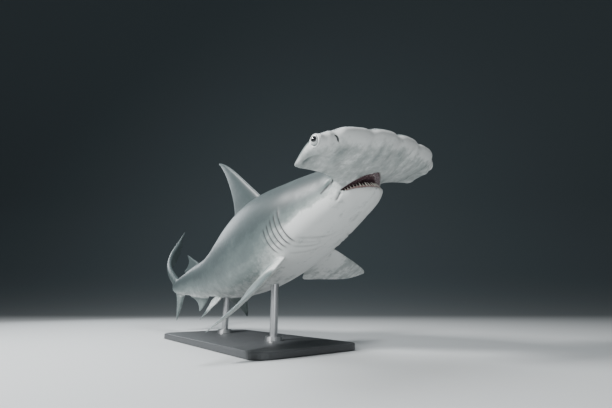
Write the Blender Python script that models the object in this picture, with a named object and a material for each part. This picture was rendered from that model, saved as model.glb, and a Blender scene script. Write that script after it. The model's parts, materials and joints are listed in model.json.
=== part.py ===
"""A great hammerhead shark, life size, swimming in a shallow banked turn on a plain display stand.

Every place on the animal is given on a straight body first: `aft` runs back from the snout,
`left` and `up` across it, all as fractions of the stretched length. `Spine` then bends that
straight body into the pose. Metres, +Z up. The origin lies under the middle of the whole
model, on the floor.
"""
import math

import bmesh
import bpy
import numpy as np
from mathutils import Matrix, Vector

COLLECTION = "hammerhead_shark"
CUTTERS = "cutters"

LENGTH = 3.40                    # stretched length, snout to the tip of the upper tail lobe
GAP = 0.0003                     # clearance between nodes that touch

# Pose. The snout's place is given from the eye point of somebody in front of the animal.
SNOUT = (0.401, 1.289, 0.697)
POSE = (
    # aft, heading, climb and bank in degrees
    (0.00, 37.2, 21.9, 9.4),
    (0.10, 37.8, 21.5, 9.7),
    (0.20, 42.0, 18.9, 12.5),
    (0.30, 40.1, 16.4, 14.3),
    (0.40, 35.3, 11.3, 15.6),
    (0.50, 36.5, 6.2, 16.0),
    (0.60, 45.4, 5.2, 15.5),
    (0.70, 45.6, 4.7, 13.4),
    (0.80, 25.6, 3.9, 10.3),
    (0.90, -11.1, 1.4, 6.8),
    (1.00, -50.0, 0.5, 2.0),
)

# Body: aft, half width, top, underside, all of LENGTH.
BODY = (
    (0.0655, 0.0080, -0.006, -0.0385),
    (0.0700, 0.0200, 0.000, -0.0410),
    (0.0800, 0.0330, 0.010, -0.0435),
    (0.0900, 0.0405, 0.019, -0.0455),
    (0.100, 0.0455, 0.027, -0.0472),
    (0.120, 0.0510, 0.036, -0.0500),
    (0.160, 0.0620, 0.051, -0.0560),
    (0.190, 0.0685, 0.060, -0.0605),
    (0.240, 0.0720, 0.074, -0.0665),
    (0.280, 0.0710, 0.081, -0.0705),
    (0.330, 0.0670, 0.082, -0.0710),
    (0.376, 0.0620, 0.078, -0.0680),
    (0.420, 0.0560, 0.072, -0.0615),
    (0.500, 0.0440, 0.058, -0.0480),
    (0.560, 0.034, 0.048, -0.0400),
    (0.610, 0.026, 0.041, -0.0340),
    (0.660, 0.019, 0.032, -0.0270),
    (0.700, 0.0145, 0.024, -0.0225),
    (0.730, 0.0115, 0.018, -0.0180),
    (0.755, 0.0070, 0.018, -0.0080),
)
BODY_SIDES = 30
BODY_ROUND = 2.25                # superellipse power of a section's upper half
BELLY_ROUND = 2.55               # and of its flatter lower half

# Where the body is parted into its lengths.
NECK_BACK = 0.165
GILLS_BACK = 0.245
CHEST_BACK = 0.415
BELLY_BACK = 0.575
BODY_END = 0.750

# Hammer: front and rear margins and thickness against the distance from the middle.
FRONT_MARGIN = (
    (0.000, 0.0015), (0.0255, 0.0020), (0.0507, 0.0050), (0.070, 0.0080), (0.085, 0.0105),
    (0.1015, 0.0175), (0.112, 0.0265), (0.120, 0.0365), (0.1235, 0.0480),
)
REAR_MARGIN = (
    (0.000, 0.120), (0.030, 0.112), (0.050, 0.0900), (0.065, 0.0845), (0.085, 0.0815),
    (0.105, 0.0800), (0.115, 0.0795), (0.120, 0.0770), (0.1235, 0.0660),
)
HAMMER_TOP = (
    (0.000, 0.0190), (0.030, 0.0175), (0.060, 0.0125), (0.090, 0.0095), (0.110, 0.0090),
    (0.1235, 0.0090),
)
HAMMER_UNDER = (
    (0.000, 0.0170), (0.030, 0.0160), (0.060, 0.0130), (0.090, 0.0115), (0.110, 0.0110),
    (0.1235, 0.0105),
)
NOTCHES = (
    # distance from the middle, depth and half width of the dents in the front margin
    (0.0000, 0.0040, 0.0060),
    (0.0507, 0.0037, 0.0060),
    (0.1015, 0.0060, 0.0042),
)
HAMMER_HALF = 0.1215             # half the hammer's width
HAMMER_LIFT = -0.0040            # height of its front edge
TIP_ROUND = 0.0110               # how much of each end is rounded off
HAMMER_STEPS = 50
HAMMER_SIDES = 22

# Mouth: a wedge cut from the side, its point at the corners, and the lower jaw below it.
MOUTH_BACK = 0.0975              # where the lips meet
MOUTH_HEIGHT = -0.0243
ROOF_FRONT = -0.0200             # height of the wedge's upper face at LIP_FRONT
LIP_FRONT = 0.0660               # front of the lower lip
GAPE_DROP = 0.0125               # how far the lower lip's front hangs below the corners
CORNER_HALF = 0.0365             # half the distance between the corners
CORNER_SPREAD = 0.90             # how fast the wedge widens forward of them
JAW_REACH = 0.0300               # how far forward and outward the cutters reach
PALATE_MIDDLE = (0.0855, 0.0, -0.0225)
PALATE = (0.0195, 0.0305, 0.0095)    # radii of the hollow in the roof
TONGUE_MIDDLE = (0.0870, 0.0, -0.0270)
TONGUE = (0.0190, 0.0270, 0.0080)    # radii of the hollow behind the lower teeth
TEETH = 17
TOOTH = 0.0030                   # height of the middle teeth
TOOTH_SEED = 5
UPPER_TEETH_FRONT = 0.0660
UPPER_TEETH_HALF = 0.0330
LOWER_TEETH_FRONT = 0.0675
LOWER_TEETH_HALF = 0.0330

# Eyes and nostrils.
EYE = (0.0375, 0.1192, -0.0050)
EYE_RADIUS = 0.0060
EYE_BULGE = 0.0050               # radius of the eyeball across the head
LID_WIDTH = 0.0011
NOSTRIL_START = (0.0195, 0.1000, -0.0080)
NOSTRIL_END = (0.0300, 0.0900, -0.0152)
NOSTRIL_WIDTH = 0.0016

# Gill slits, one flap after another.
GILL_FIRST = 0.1890
GILL_LAST = 0.2245
GILLS = 5
GILL_TOP = 0.006
GILL_BOTTOM = -0.046
GILL_RISE = 0.0028               # how far a flap's edge stands off the flank
GILL_STEP = 0.0004               # length of the step at a slit

# Fins. Each station: distance out from the body's middle line, leading edge, trailing edge.
FIRST_DORSAL = (
    (0.055, 0.262, 0.385), (0.079, 0.277, 0.400), (0.088, 0.282, 0.386), (0.100, 0.289, 0.374),
    (0.125, 0.304, 0.366), (0.150, 0.319, 0.363), (0.175, 0.335, 0.363), (0.195, 0.350, 0.3665),
    (0.208, 0.363, 0.3715), (0.214, 0.371, 0.3750),
)
SECOND_DORSAL = (
    (0.022, 0.595, 0.664), (0.034, 0.601, 0.684), (0.041, 0.606, 0.668), (0.050, 0.617, 0.657),
    (0.058, 0.631, 0.6525), (0.066, 0.643, 0.6535), (0.0710, 0.6515, 0.6550),
)
ANAL = (
    (-0.016, 0.580, 0.656), (-0.027, 0.585, 0.680), (-0.036, 0.591, 0.661), (-0.046, 0.603, 0.649),
    (-0.055, 0.617, 0.6455), (-0.064, 0.633, 0.6465), (-0.0690, 0.6435, 0.6480),
)
TAIL_UPPER = (
    # height, leading edge, trailing edge
    (-0.010, 0.700, 0.7440), (0.010, 0.7120, 0.7660), (0.030, 0.7400, 0.7960), (0.055, 0.7760, 0.8370),
    (0.085, 0.8180, 0.8770), (0.115, 0.8530, 0.9000), (0.140, 0.8785, 0.9090), (0.153, 0.8900, 0.9140),
    (0.158, 0.8940, 0.9120), (0.172, 0.9045, 0.9150), (0.188, 0.9155, 0.9205), (0.196, 0.9200, 0.9225),
)
TAIL_LOWER = (
    (0.012, 0.7050, 0.7700), (-0.006, 0.7010, 0.7560), (-0.020, 0.7030, 0.7500), (-0.035, 0.7150, 0.7535),
    (-0.055, 0.7360, 0.7620), (-0.072, 0.7570, 0.7710), (-0.083, 0.7715, 0.7760),
)
PECTORAL = (
    # distance along the fin, leading edge, trailing edge, and where along it the blade bows
    (-0.020, 0.0000, 0.0620, 0.00), (0.000, 0.0000, 0.0740, 0.00), (0.010, 0.0008, 0.0890, 0.08),
    (0.020, 0.0026, 0.0900, 0.22), (0.045, 0.0080, 0.0805, 0.62), (0.075, 0.0160, 0.0725, 0.95),
    (0.103, 0.0260, 0.0658, 1.00), (0.127, 0.0370, 0.0610, 0.62), (0.143, 0.0470, 0.0585, 0.22),
    (0.151, 0.0535, 0.0572, 0.00),
)
PELVIC = (
    (-0.014, 0.0000, 0.0340, 0.0), (0.000, 0.0000, 0.0420, 0.0), (0.008, 0.0010, 0.0530, 0.0),
    (0.016, 0.0050, 0.0490, 0.0), (0.030, 0.0130, 0.0430, 0.0), (0.044, 0.0230, 0.0400, 0.0),
    (0.054, 0.0320, 0.0390, 0.0), (0.0585, 0.0365, 0.0385, 0.0),
)
# Paired fins: root, direction from it to the tip, turn of the chord and height of the bow.
PECTORAL_ROOT = (0.2210, 0.0480, -0.0480)
PELVIC_ROOT = (0.4750, 0.0240, -0.0420)
RIGHT_PECTORAL_TIP = (0.1348, -0.895, -0.3865)
LEFT_PECTORAL_TIP = (0.3513, 0.905, -0.2321)
RIGHT_PELVIC_TIP = (0.54, -0.670, -0.510)
LEFT_PELVIC_TIP = (0.52, 0.320, -0.790)
RIGHT_PECTORAL_TWIST = 4.9       # degrees, leading edge up
LEFT_PECTORAL_TWIST = 13.3
RIGHT_PELVIC_TWIST = 0.0
LEFT_PELVIC_TWIST = 22.0
RIGHT_PECTORAL_BOW = -0.0040     # below the straight line from root to tip
LEFT_PECTORAL_BOW = -0.0097
FIN_SIDES = 16

# Stand: a flat base and two rods, from the same eye point as the snout.
BASE_SIZE = (1.30, 0.62, 0.034)
BASE_CENTRE = (-0.360, 2.190)
BASE_HEADING = 38.0
BASE_TOP = -0.190
BASE_CORNER = 0.080
BASE_EDGE = 0.006
ROD_RADIUS = 0.022
COLLAR_RADIUS = 0.050
COLLAR_HEIGHT = 0.022
ROD_PLACES = (("stand_rod_front", 0.285), ("stand_rod_rear", 0.480))


def smooth(table, where):
    """Every column of a table at `where`, on a cubic that runs smoothly through its rows."""
    rows = np.asarray(table, float)
    knots = rows[:, 0]
    values = rows[:, 1:]
    slopes = np.gradient(values, knots, axis=0)
    where = np.clip(np.asarray(where, float), knots[0], knots[-1])
    low = np.clip(np.searchsorted(knots, where, side="right") - 1, 0, len(knots) - 2)
    width = knots[low + 1] - knots[low]
    t = ((where - knots[low]) / width)[..., None]
    width = width[..., None]
    return (
        (2 * t**3 - 3 * t**2 + 1) * values[low]
        + (t**3 - 2 * t**2 + t) * width * slopes[low]
        + (3 * t**2 - 2 * t**3) * values[low + 1]
        + (t**3 - t**2) * width * slopes[low + 1]
    )


def unit(vectors):
    """Vectors scaled to length one."""
    vectors = np.asarray(vectors, float)
    return vectors / np.linalg.norm(vectors, axis=-1, keepdims=True)


class Spine:
    """The bent centre line with its forward, left and up directions."""

    STEPS = 800

    def __init__(self):
        self.aft = np.linspace(0.0, 1.0, self.STEPS + 1)
        self.axes = self.turn(self.aft)
        forward = self.axes[:, 0]
        middle = 0.5 * (forward[1:] + forward[:-1])
        run = np.cumsum(middle, axis=0) * LENGTH / self.STEPS
        self.line = np.asarray(SNOUT) - np.vstack([np.zeros(3), run])

    def turn(self, aft):
        """Forward, left and up at `aft`, from the heading, climb and bank."""
        heading, climb, bank = np.radians(smooth(POSE, aft)).T
        forward = np.stack(
            [np.sin(heading) * np.cos(climb), -np.cos(heading) * np.cos(climb), np.sin(climb)], -1
        )
        level = np.stack([np.cos(heading), np.sin(heading), np.zeros_like(heading)], -1)
        over = np.cross(forward, level)
        left = level * np.cos(bank)[:, None] + over * np.sin(bank)[:, None]
        return np.stack([forward, left, np.cross(forward, left)], 1)

    def frame(self, aft):
        """Point of the centre line and its three directions at each `aft`."""
        aft = np.atleast_1d(np.asarray(aft, float))
        line = np.stack([np.interp(aft, self.aft, self.line[:, k]) for k in range(3)], -1)
        beyond = (np.minimum(aft, 0.0) * LENGTH)[:, None]
        line = line - beyond * self.axes[0, 0]
        return line, self.turn(np.clip(aft, 0.0, 1.0))

    def bend(self, points):
        """Points of the straight body (aft, left, up), carried into the pose, in metres."""
        points = np.asarray(points, float)
        flat = points.reshape(-1, 3)
        line, axes = self.frame(flat[:, 0])
        placed = line + LENGTH * (flat[:, 1:2] * axes[:, 1] + flat[:, 2:3] * axes[:, 2])
        return placed.reshape(points.shape)

    def stiff(self, points, station):
        """Points of the straight body carried as one stiff piece with the spine at `station`."""
        points = np.asarray(points, float)
        line, axes = self.frame(station)
        offset = points - np.array([station, 0.0, 0.0])
        back = -offset[..., 0:1] * axes[0, 0]
        return line[0] + LENGTH * (back + offset[..., 1:2] * axes[0, 1] + offset[..., 2:3] * axes[0, 2])


SPINE = Spine()


def material(name, colour, roughness, metallic=0.0):
    """A plain surface of one colour."""
    made = bpy.data.materials.new(name)
    made.use_nodes = True
    shader = made.node_tree.nodes["Principled BSDF"]
    shader.inputs["Base Color"].default_value = (*colour, 1.0)
    shader.inputs["Roughness"].default_value = roughness
    shader.inputs["Metallic"].default_value = metallic
    return made


def add_object(name, mesh, collection, surface):
    """An object with that mesh and surface, in that collection."""
    made = bpy.data.objects.new(name, mesh)
    bpy.data.collections[collection].objects.link(made)
    if surface is not None:
        mesh.materials.clear()
        mesh.materials.append(surface)
    return made


def loft(name, rings, collection, surface=None):
    """A closed skin over rings of points, flat at both ends.

    Quads are split on diagonals that mirror across the ring, so both faces of a thin
    piece bend alike.
    """
    rings = np.asarray(rings, float)
    count, sides = rings.shape[:2]
    faces = []
    for i in range(count - 1):
        for j in range(sides):
            k = (j + 1) % sides
            a = i * sides + j
            b = i * sides + k
            c = a + sides
            d = b + sides
            if j < sides // 2:
                faces += [(a, b, d), (a, d, c)]
            else:
                faces += [(a, b, c), (b, d, c)]
    faces.append(tuple(range(sides)))
    faces.append(tuple(reversed(range((count - 1) * sides, count * sides))))
    mesh = bpy.data.meshes.new(name)
    mesh.from_pydata([tuple(p) for p in rings.reshape(-1, 3)], [], faces)
    tidy_mesh(mesh)
    return add_object(name, mesh, collection, surface)


def tidy_mesh(mesh):
    """Triangles with their faces turned outwards."""
    work = bmesh.new()
    work.from_mesh(mesh)
    bmesh.ops.triangulate(work, faces=work.faces)
    bmesh.ops.recalc_face_normals(work, faces=work.faces)
    if work.calc_volume(signed=True) < 0.0:
        bmesh.ops.reverse_faces(work, faces=work.faces)
    work.to_mesh(mesh)
    work.free()


def keep_largest(mesh):
    """Leave only the largest closed surface of a mesh."""
    work = bmesh.new()
    work.from_mesh(mesh)
    bmesh.ops.triangulate(work, faces=work.faces)
    todo = set(work.faces)
    pieces = []
    while todo:
        front = [todo.pop()]
        piece = []
        while front:
            face = front.pop()
            piece.append(face)
            for edge in face.edges:
                for other in edge.link_faces:
                    if other in todo:
                        todo.remove(other)
                        front.append(other)
        pieces.append(piece)
    pieces.sort(key=piece_volume, reverse=True)
    spare = [face for piece in pieces[1:] for face in piece]
    bmesh.ops.delete(work, geom=spare, context="FACES")
    work.to_mesh(mesh)
    work.free()


def piece_volume(piece):
    """Volume inside a closed set of triangles."""
    total = 0.0
    for face in piece:
        a, b, c = (v.co for v in face.verts)
        total += a.dot(b.cross(c)) / 6.0
    return abs(total)


def apply_boolean(target, operation, cutters):
    """Join or cut the target with other closed objects, apply it and remove them."""
    group = bpy.data.collections.new("boolean")
    bpy.context.scene.collection.children.link(group)
    for cutter in cutters:
        group.objects.link(cutter)
    step = target.modifiers.new("boolean", "BOOLEAN")
    step.operation = operation
    step.operand_type = "COLLECTION"
    step.collection = group
    step.solver = "EXACT"
    bpy.context.view_layer.update()
    graph = bpy.context.evaluated_depsgraph_get()
    made = bpy.data.meshes.new_from_object(target.evaluated_get(graph))
    target.modifiers.clear()
    surfaces = list(target.data.materials)
    target.data = made
    made.materials.clear()
    for surface in surfaces:
        made.materials.append(surface)
    for face in made.polygons:
        face.material_index = 0
    keep_largest(made)
    for cutter in list(group.objects):
        bpy.data.objects.remove(cutter)
    bpy.data.collections.remove(group)


def round_shade(piece, degrees=38.0):
    """Smooth shading with sharp edges kept."""
    piece.data.shade_smooth()
    piece.data.set_sharp_from_angle(angle=math.radians(degrees))


def body_section(aft, grow=0.0):
    """Rings of the body at each `aft`, (aft, left, up), grown outwards by `grow` metres.

    A ring is a superellipse, wider in its lower half, round the height of its widest point.
    """
    aft = np.atleast_1d(np.asarray(aft, float))
    half, top, under = smooth(BODY, aft).T
    angle = 2.0 * math.pi * np.arange(BODY_SIDES) / BODY_SIDES
    cosine = np.cos(angle)[None, :]
    sine = np.sin(angle)[None, :]
    power = np.where(sine > 0.0, 2.0 / BODY_ROUND, 2.0 / BELLY_ROUND)
    middle = (0.5 * (top + under) - 0.06 * (top - under))[:, None]
    reach = np.where(sine > 0.0, top[:, None] - middle, middle - under[:, None])
    left = half[:, None] * np.sign(cosine) * np.abs(cosine) ** power
    up = middle + reach * np.sign(sine) * np.abs(sine) ** power
    left, up = gill_flaps(aft[:, None], left, up, middle)
    if grow:
        along = np.stack([np.roll(left, -1, 1) - np.roll(left, 1, 1),
                          np.roll(up, -1, 1) - np.roll(up, 1, 1)], -1)
        along = unit(along)
        left = left + along[..., 1] * grow / LENGTH
        up = up - along[..., 0] * grow / LENGTH
    return np.stack([np.broadcast_to(aft[:, None], left.shape), left, up], -1)


def gill_flaps(aft, left, up, middle):
    """Lift the flank into five flaps: each rises towards its slit and drops behind it."""
    pitch = (GILL_LAST - GILL_FIRST) / (GILLS - 1)
    step = (aft - GILL_FIRST) / pitch
    place = step - np.ceil(step - 1e-9) + 1.0
    inside = (step > -1.0) & (step <= GILLS - 1 + 1e-9)
    rise = np.where(inside, place**2, 0.0)
    fade_top = np.clip((GILL_TOP - up) / 0.010, 0.0, 1.0)
    fade_low = np.clip((up - GILL_BOTTOM) / 0.010, 0.0, 1.0)
    lift = GILL_RISE * rise * fade_top * fade_low
    out = np.stack([left, up - middle], -1)
    out = out / np.maximum(np.linalg.norm(out, axis=-1, keepdims=True), 1e-9)
    return left + lift * out[..., 0], up + lift * out[..., 1]


def body_stations():
    """Where the body's rings lie: evenly along, close at the gills, and at each parting."""
    pitch = (GILL_LAST - GILL_FIRST) / (GILLS - 1)
    places = list(BODY[0][0] + (NECK_BACK - BODY[0][0]) * np.linspace(0.0, 1.0, 14) ** 1.35)
    for part in (GILLS_BACK, CHEST_BACK, BELLY_BACK):
        places += [part, part + GAP / LENGTH]
    places += [NECK_BACK + GAP / LENGTH]
    for slit in range(GILLS):
        edge = GILL_FIRST + slit * pitch
        places += [edge - 0.60 * pitch, edge - 0.25 * pitch, edge, edge + GILL_STEP]
    places += list(np.linspace(0.236, BODY_END, 28)[1:])
    return np.unique(np.round(places, 7))


def body_length(name, start, end, surface):
    """One length of the body between two partings."""
    stations = body_stations()
    inside = stations[(stations > start - 1e-6) & (stations < end + 1e-6)]
    return loft(name, SPINE.bend(body_section(inside)), COLLECTION, surface)


def body_cutter():
    """The whole body grown by the gap, for cutting what grows out of it."""
    stations = np.append(body_stations(), BODY_END + GAP / LENGTH)
    return loft("body_cutter", SPINE.bend(body_section(stations, GAP)), CUTTERS)


def foil(sides):
    """A ring round a fin section: chord places from 0 to 1 and back, and half thickness."""
    angle = 2.0 * math.pi * (np.arange(sides) + 0.5) / sides
    chord = 0.5 * (1.0 - np.cos(angle))
    body = (4.0 * chord * (1.0 - chord)) ** 0.5 * (1.0 - 0.72 * chord**0.9)
    return chord, np.sign(np.sin(angle)) * body / body.max()


def fin_rings(table, steps, thickness, tip_thickness):
    """Rings of a flat fin: (chordwise, thickness, out), from a table of its two edges."""
    rows = np.asarray(table, float)
    span = np.linspace(0.0, 1.0, steps)
    knots = np.linspace(0.0, 1.0, len(rows))
    out, front, back = smooth(np.column_stack([knots, rows[:, :3]]), span).T
    chord, half = foil(FIN_SIDES)
    thick = thickness + (tip_thickness - thickness) * span**1.2
    thick = thick * np.minimum(1.0, 0.35 + (back - front) / 0.03)
    place = front[:, None] + (back - front)[:, None] * chord
    return np.stack([place, thick[:, None] * half, np.broadcast_to(out[:, None], place.shape)], -1), span


def middle_fin(name, table, steps, thickness, tip_thickness, surface, station=None):
    """A fin on the middle line: up or down from the body, bent with it or stiff."""
    rings, _ = fin_rings(table, steps, thickness, tip_thickness)
    placed = SPINE.bend(rings) if station is None else SPINE.stiff(rings, station)
    return loft(name, placed, COLLECTION, surface)


def side_fin(name, table, steps, thickness, root, tip, twist, height, surface):
    """A paired fin: stiff, swept along `tip` from its root, turned by `twist`, bowed by `height`."""
    rings, span = fin_rings(table, steps, thickness, 0.0009)
    knots = np.linspace(0.0, 1.0, len(table))
    bow = height * smooth(np.column_stack([knots, np.asarray(table)[:, 3]]), span)
    tip = unit(tip)
    side = 1.0 if tip[1] > 0.0 else -1.0
    sweep = table[-1][1]
    reach = table[-1][0]
    # The table's own tip lies `sweep` back and `reach` out: turn that line onto `tip`.
    aft_axis = np.array([1.0, 0.0, 0.0])
    out = unit(tip - aft_axis * (tip @ aft_axis))
    angle = math.atan2(sweep, reach)
    lean = math.atan2(tip @ aft_axis, tip @ out)
    turn = lean - angle
    out_dir = math.cos(turn) * out + math.sin(turn) * aft_axis
    chord_dir = math.cos(turn) * aft_axis - math.sin(turn) * out
    normal = np.cross(chord_dir, out_dir) * side
    spin = Matrix.Rotation(math.radians(twist) * side, 3, Vector(out_dir))
    chord_dir = np.array(spin @ Vector(chord_dir))
    normal = np.array(spin @ Vector(normal))
    root = np.array(root) * (1.0, side, 1.0)
    local = (root + rings[..., 0:1] * chord_dir + rings[..., 2:3] * out_dir
             + (rings[..., 1:2] + bow[:, None, :]) * normal)
    return loft(name, SPINE.stiff(local, root[0] + 0.03), COLLECTION, surface)


def hammer_rings():
    """Rings of the hammer from its right end to its left: a blunt foil that thins aft."""
    across = np.sin(np.linspace(-0.5 * math.pi, 0.5 * math.pi, HAMMER_STEPS + 1) * 0.985)
    across = HAMMER_HALF * (0.45 * across + 0.55 * np.linspace(-1.0, 1.0, HAMMER_STEPS + 1))
    off = np.abs(across)
    front = smooth(FRONT_MARGIN, off)[:, 0]
    dent = sum(depth * np.exp(-((off - place) / half) ** 2) for place, depth, half in NOTCHES)
    back = smooth(REAR_MARGIN, off)[:, 0]
    top = smooth(HAMMER_TOP, off)[:, 0]
    under = smooth(HAMMER_UNDER, off)[:, 0]
    past = np.clip((off - (HAMMER_HALF - TIP_ROUND)) / TIP_ROUND, 0.0, 1.0)
    close = np.sqrt(np.maximum(1.0 - past**2, 0.004))
    angle = 2.0 * math.pi * (np.arange(HAMMER_SIDES) + 0.5) / HAMMER_SIDES
    chord = 0.5 * (1.0 - np.cos(angle))
    body = (4.0 * chord * (1.0 - chord)) ** 0.42 * (1.0 - 0.45 * chord**1.5)
    body = body / body.max()
    aft = front[:, None] + (back - front)[:, None] * chord + dent[:, None] * (1.0 - chord) ** 5
    rise = np.where(np.sin(angle) > 0.0, top[:, None] * body, -under[:, None] * body)
    droop = HAMMER_LIFT - 0.0020 * chord[None, :]
    up = rise * close[:, None] + droop
    return np.stack([aft, np.broadcast_to(across[:, None], aft.shape), up], -1)


def lower_lip(aft):
    """Height of the lower lip at `aft`: it falls away forward of the corners."""
    return MOUTH_HEIGHT - GAPE_DROP * (MOUTH_BACK - aft) / (MOUTH_BACK - LIP_FRONT)


def upper_gum(aft):
    """Height of the mouth's roof at `aft`."""
    part = (MOUTH_BACK - aft) / (MOUTH_BACK - LIP_FRONT)
    return MOUTH_HEIGHT + (ROOF_FRONT - MOUTH_HEIGHT) * part


def prism(name, outline, half, grow=0.0):
    """A side outline of (aft, up) points carried across the head; `half` gives its width there."""
    outline = np.asarray(outline, float)
    half = np.asarray(half, float) + grow
    rings = [np.column_stack([outline[:, 0], side * half, outline[:, 1]]) for side in (-1.0, 1.0)]
    return loft(name, SPINE.bend(np.array(rings)), CUTTERS)


def gape_wedge():
    """The open mouth: from the corners forward, widening, between the roof and the lower lip.

    Ahead of the upper lip it runs on below the hammer.
    """
    front = LIP_FRONT - JAW_REACH
    aft = np.array([MOUTH_BACK, LIP_FRONT, front, front])
    up = np.array([MOUTH_HEIGHT, ROOF_FRONT, ROOF_FRONT - 0.0040, lower_lip(front) - 0.002])
    half = CORNER_HALF + CORNER_SPREAD * (MOUTH_BACK - aft)
    return prism("gape", np.column_stack([aft, up]), half)


def jaw_region(grow):
    """Everything below the lower lip and ahead of the corners, grown by `grow` metres."""
    more = grow / LENGTH
    front = LIP_FRONT - JAW_REACH
    low = BODY[4][3] - JAW_REACH
    outline = [
        (MOUTH_BACK + more, MOUTH_HEIGHT + more),
        (MOUTH_BACK + more, low),
        (front, low),
        (front, lower_lip(front) + more),
    ]
    return prism("jaw_region", outline, np.full(4, CORNER_HALF + JAW_REACH))


def muzzle_rings():
    """Rings of the throat and neck, from the chin to the first parting."""
    stations = body_stations()
    return body_section(stations[stations < NECK_BACK + 1e-6])


def tooth_row(front, reach, height, points, seed):
    """Teeth round a jaw's arc: low pointed spikes, the middle ones largest."""
    draw = np.random.default_rng(seed)
    made = []
    for k in range(TEETH):
        swing = math.radians(-68.0 + 136.0 * k / (TEETH - 1))
        aft = MOUTH_BACK - (MOUTH_BACK - front) * math.cos(swing)
        size = TOOTH * (0.55 + 0.45 * math.cos(swing)) * (0.9 + 0.2 * draw.random())
        base = np.array([aft, reach * math.sin(swing), height(aft)])
        tip = base + np.array([0.0, 0.0, points * size])
        low = base - np.array([0.0, 0.0, points * size * 0.7])
        made.append(cone("tooth", SPINE.bend(low), SPINE.bend(tip), 0.45 * size * LENGTH))
    return made


def cone(name, foot, tip, radius):
    """A four-sided spike from `foot` to `tip`."""
    foot = Vector(foot)
    tip = Vector(tip)
    work = bmesh.new()
    bmesh.ops.create_cone(work, cap_ends=True, segments=4, radius1=radius, radius2=radius * 0.08,
                          depth=(tip - foot).length)
    turn = (tip - foot).to_track_quat("Z", "Y").to_matrix().to_4x4()
    work.transform(Matrix.Translation((foot + tip) / 2.0) @ turn)
    mesh = bpy.data.meshes.new(name)
    work.to_mesh(mesh)
    work.free()
    return add_object(name, mesh, CUTTERS, None)


def ball(name, centre, radii, collection, surface=None, grow=0.0, segments=20, rings=12):
    """A ball on the head, stretched along aft, left and up and grown by `grow` metres."""
    work = bmesh.new()
    bmesh.ops.create_uvsphere(work, u_segments=segments, v_segments=rings, radius=1.0)
    _, axes = SPINE.frame(centre[0])
    basis = Matrix([list(-axes[0, 0]), list(axes[0, 1]), list(axes[0, 2])]).transposed()
    scale = Matrix.Diagonal(Vector([r * LENGTH + grow for r in radii]))
    matrix = (basis @ scale).to_4x4()
    matrix.translation = Vector(SPINE.bend(np.array(centre)))
    work.transform(matrix)
    mesh = bpy.data.meshes.new(name)
    work.to_mesh(mesh)
    work.free()
    tidy_mesh(mesh)
    return add_object(name, mesh, collection, surface)


def lid(side):
    """The raised rim round an eye."""
    bpy.ops.mesh.primitive_torus_add(major_radius=(EYE_RADIUS + 0.6 * LID_WIDTH) * LENGTH,
                                     minor_radius=LID_WIDTH * LENGTH,
                                     major_segments=22, minor_segments=8)
    ring = bpy.context.object
    _, axes = SPINE.frame(EYE[0])
    out = axes[0, 1] * side
    turn = Vector(out).to_track_quat("Z", "Y").to_matrix().to_4x4()
    middle = SPINE.bend(np.array([EYE[0], (EYE[1] - 0.0006) * side, EYE[2]]))
    ring.data.transform(Matrix.Translation(Vector(middle)) @ turn)
    tidy_mesh(ring.data)
    return ring


def nostril(side):
    """A curved slot across the front margin, inboard of the eye."""
    start = np.array(NOSTRIL_START) * (1.0, side, 1.0)
    end = np.array(NOSTRIL_END) * (1.0, side, 1.0)
    middle = 0.5 * (start + end) + np.array([0.0018, 0.0030 * side, -0.0008])
    path = bpy.data.curves.new("nostril", "CURVE")
    path.dimensions = "3D"
    path.bevel_depth = NOSTRIL_WIDTH * LENGTH
    path.bevel_resolution = 2
    path.use_fill_caps = True
    line = path.splines.new("POLY")
    line.points.add(2)
    for point, place in zip(line.points, SPINE.bend(np.array([start, middle, end]))):
        point.co = (*place, 1.0)
    holder = bpy.data.objects.new("nostril", path)
    bpy.context.scene.collection.objects.link(holder)
    graph = bpy.context.evaluated_depsgraph_get()
    mesh = bpy.data.meshes.new_from_object(holder.evaluated_get(graph))
    bpy.data.objects.remove(holder)
    work = bmesh.new()
    work.from_mesh(mesh)
    bmesh.ops.remove_doubles(work, verts=work.verts, dist=0.00005)
    work.to_mesh(mesh)
    work.free()
    tidy_mesh(mesh)
    return add_object("nostril_cutter", mesh, CUTTERS, None)


def make_head(skin):
    """Hammer, neck and lids in one piece, with the mouth, eye sockets and nostrils cut out."""
    hammer = loft("head", SPINE.bend(hammer_rings()), COLLECTION, skin)
    muzzle = loft("muzzle", SPINE.bend(muzzle_rings()), CUTTERS)
    apply_boolean(hammer, "UNION", [muzzle, lid(1.0), lid(-1.0)])
    hollows = [ball("palate", PALATE_MIDDLE, PALATE, CUTTERS)]
    for side in (1.0, -1.0):
        socket = (EYE[0], EYE[1] * side, EYE[2])
        hollows.append(ball("socket", socket, (EYE_RADIUS, EYE_BULGE, EYE_RADIUS), CUTTERS, grow=GAP))
        hollows.append(nostril(side))
    apply_boolean(hammer, "DIFFERENCE", hollows)
    apply_boolean(hammer, "DIFFERENCE", [gape_wedge()])
    apply_boolean(hammer, "DIFFERENCE", [jaw_region(GAP)])
    upper = tooth_row(UPPER_TEETH_FRONT, UPPER_TEETH_HALF, upper_teeth_root, -1.0, TOOTH_SEED)
    apply_boolean(hammer, "UNION", upper)
    return hammer


def upper_teeth_root(aft):
    """Height at which the upper teeth leave the roof, just inside the lip."""
    return upper_gum(aft) + 0.0003


def make_jaw(skin):
    """The lower jaw with its teeth, hollowed behind them."""
    jaw = loft("lower_jaw", SPINE.bend(muzzle_rings()), COLLECTION, skin)
    apply_boolean(jaw, "INTERSECT", [jaw_region(0.0)])
    apply_boolean(jaw, "DIFFERENCE", [ball("tongue", TONGUE_MIDDLE, TONGUE, CUTTERS)])
    teeth = tooth_row(LOWER_TEETH_FRONT, LOWER_TEETH_HALF, lower_lip, 1.0, TOOTH_SEED + 1)
    apply_boolean(jaw, "UNION", teeth)
    return jaw


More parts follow.
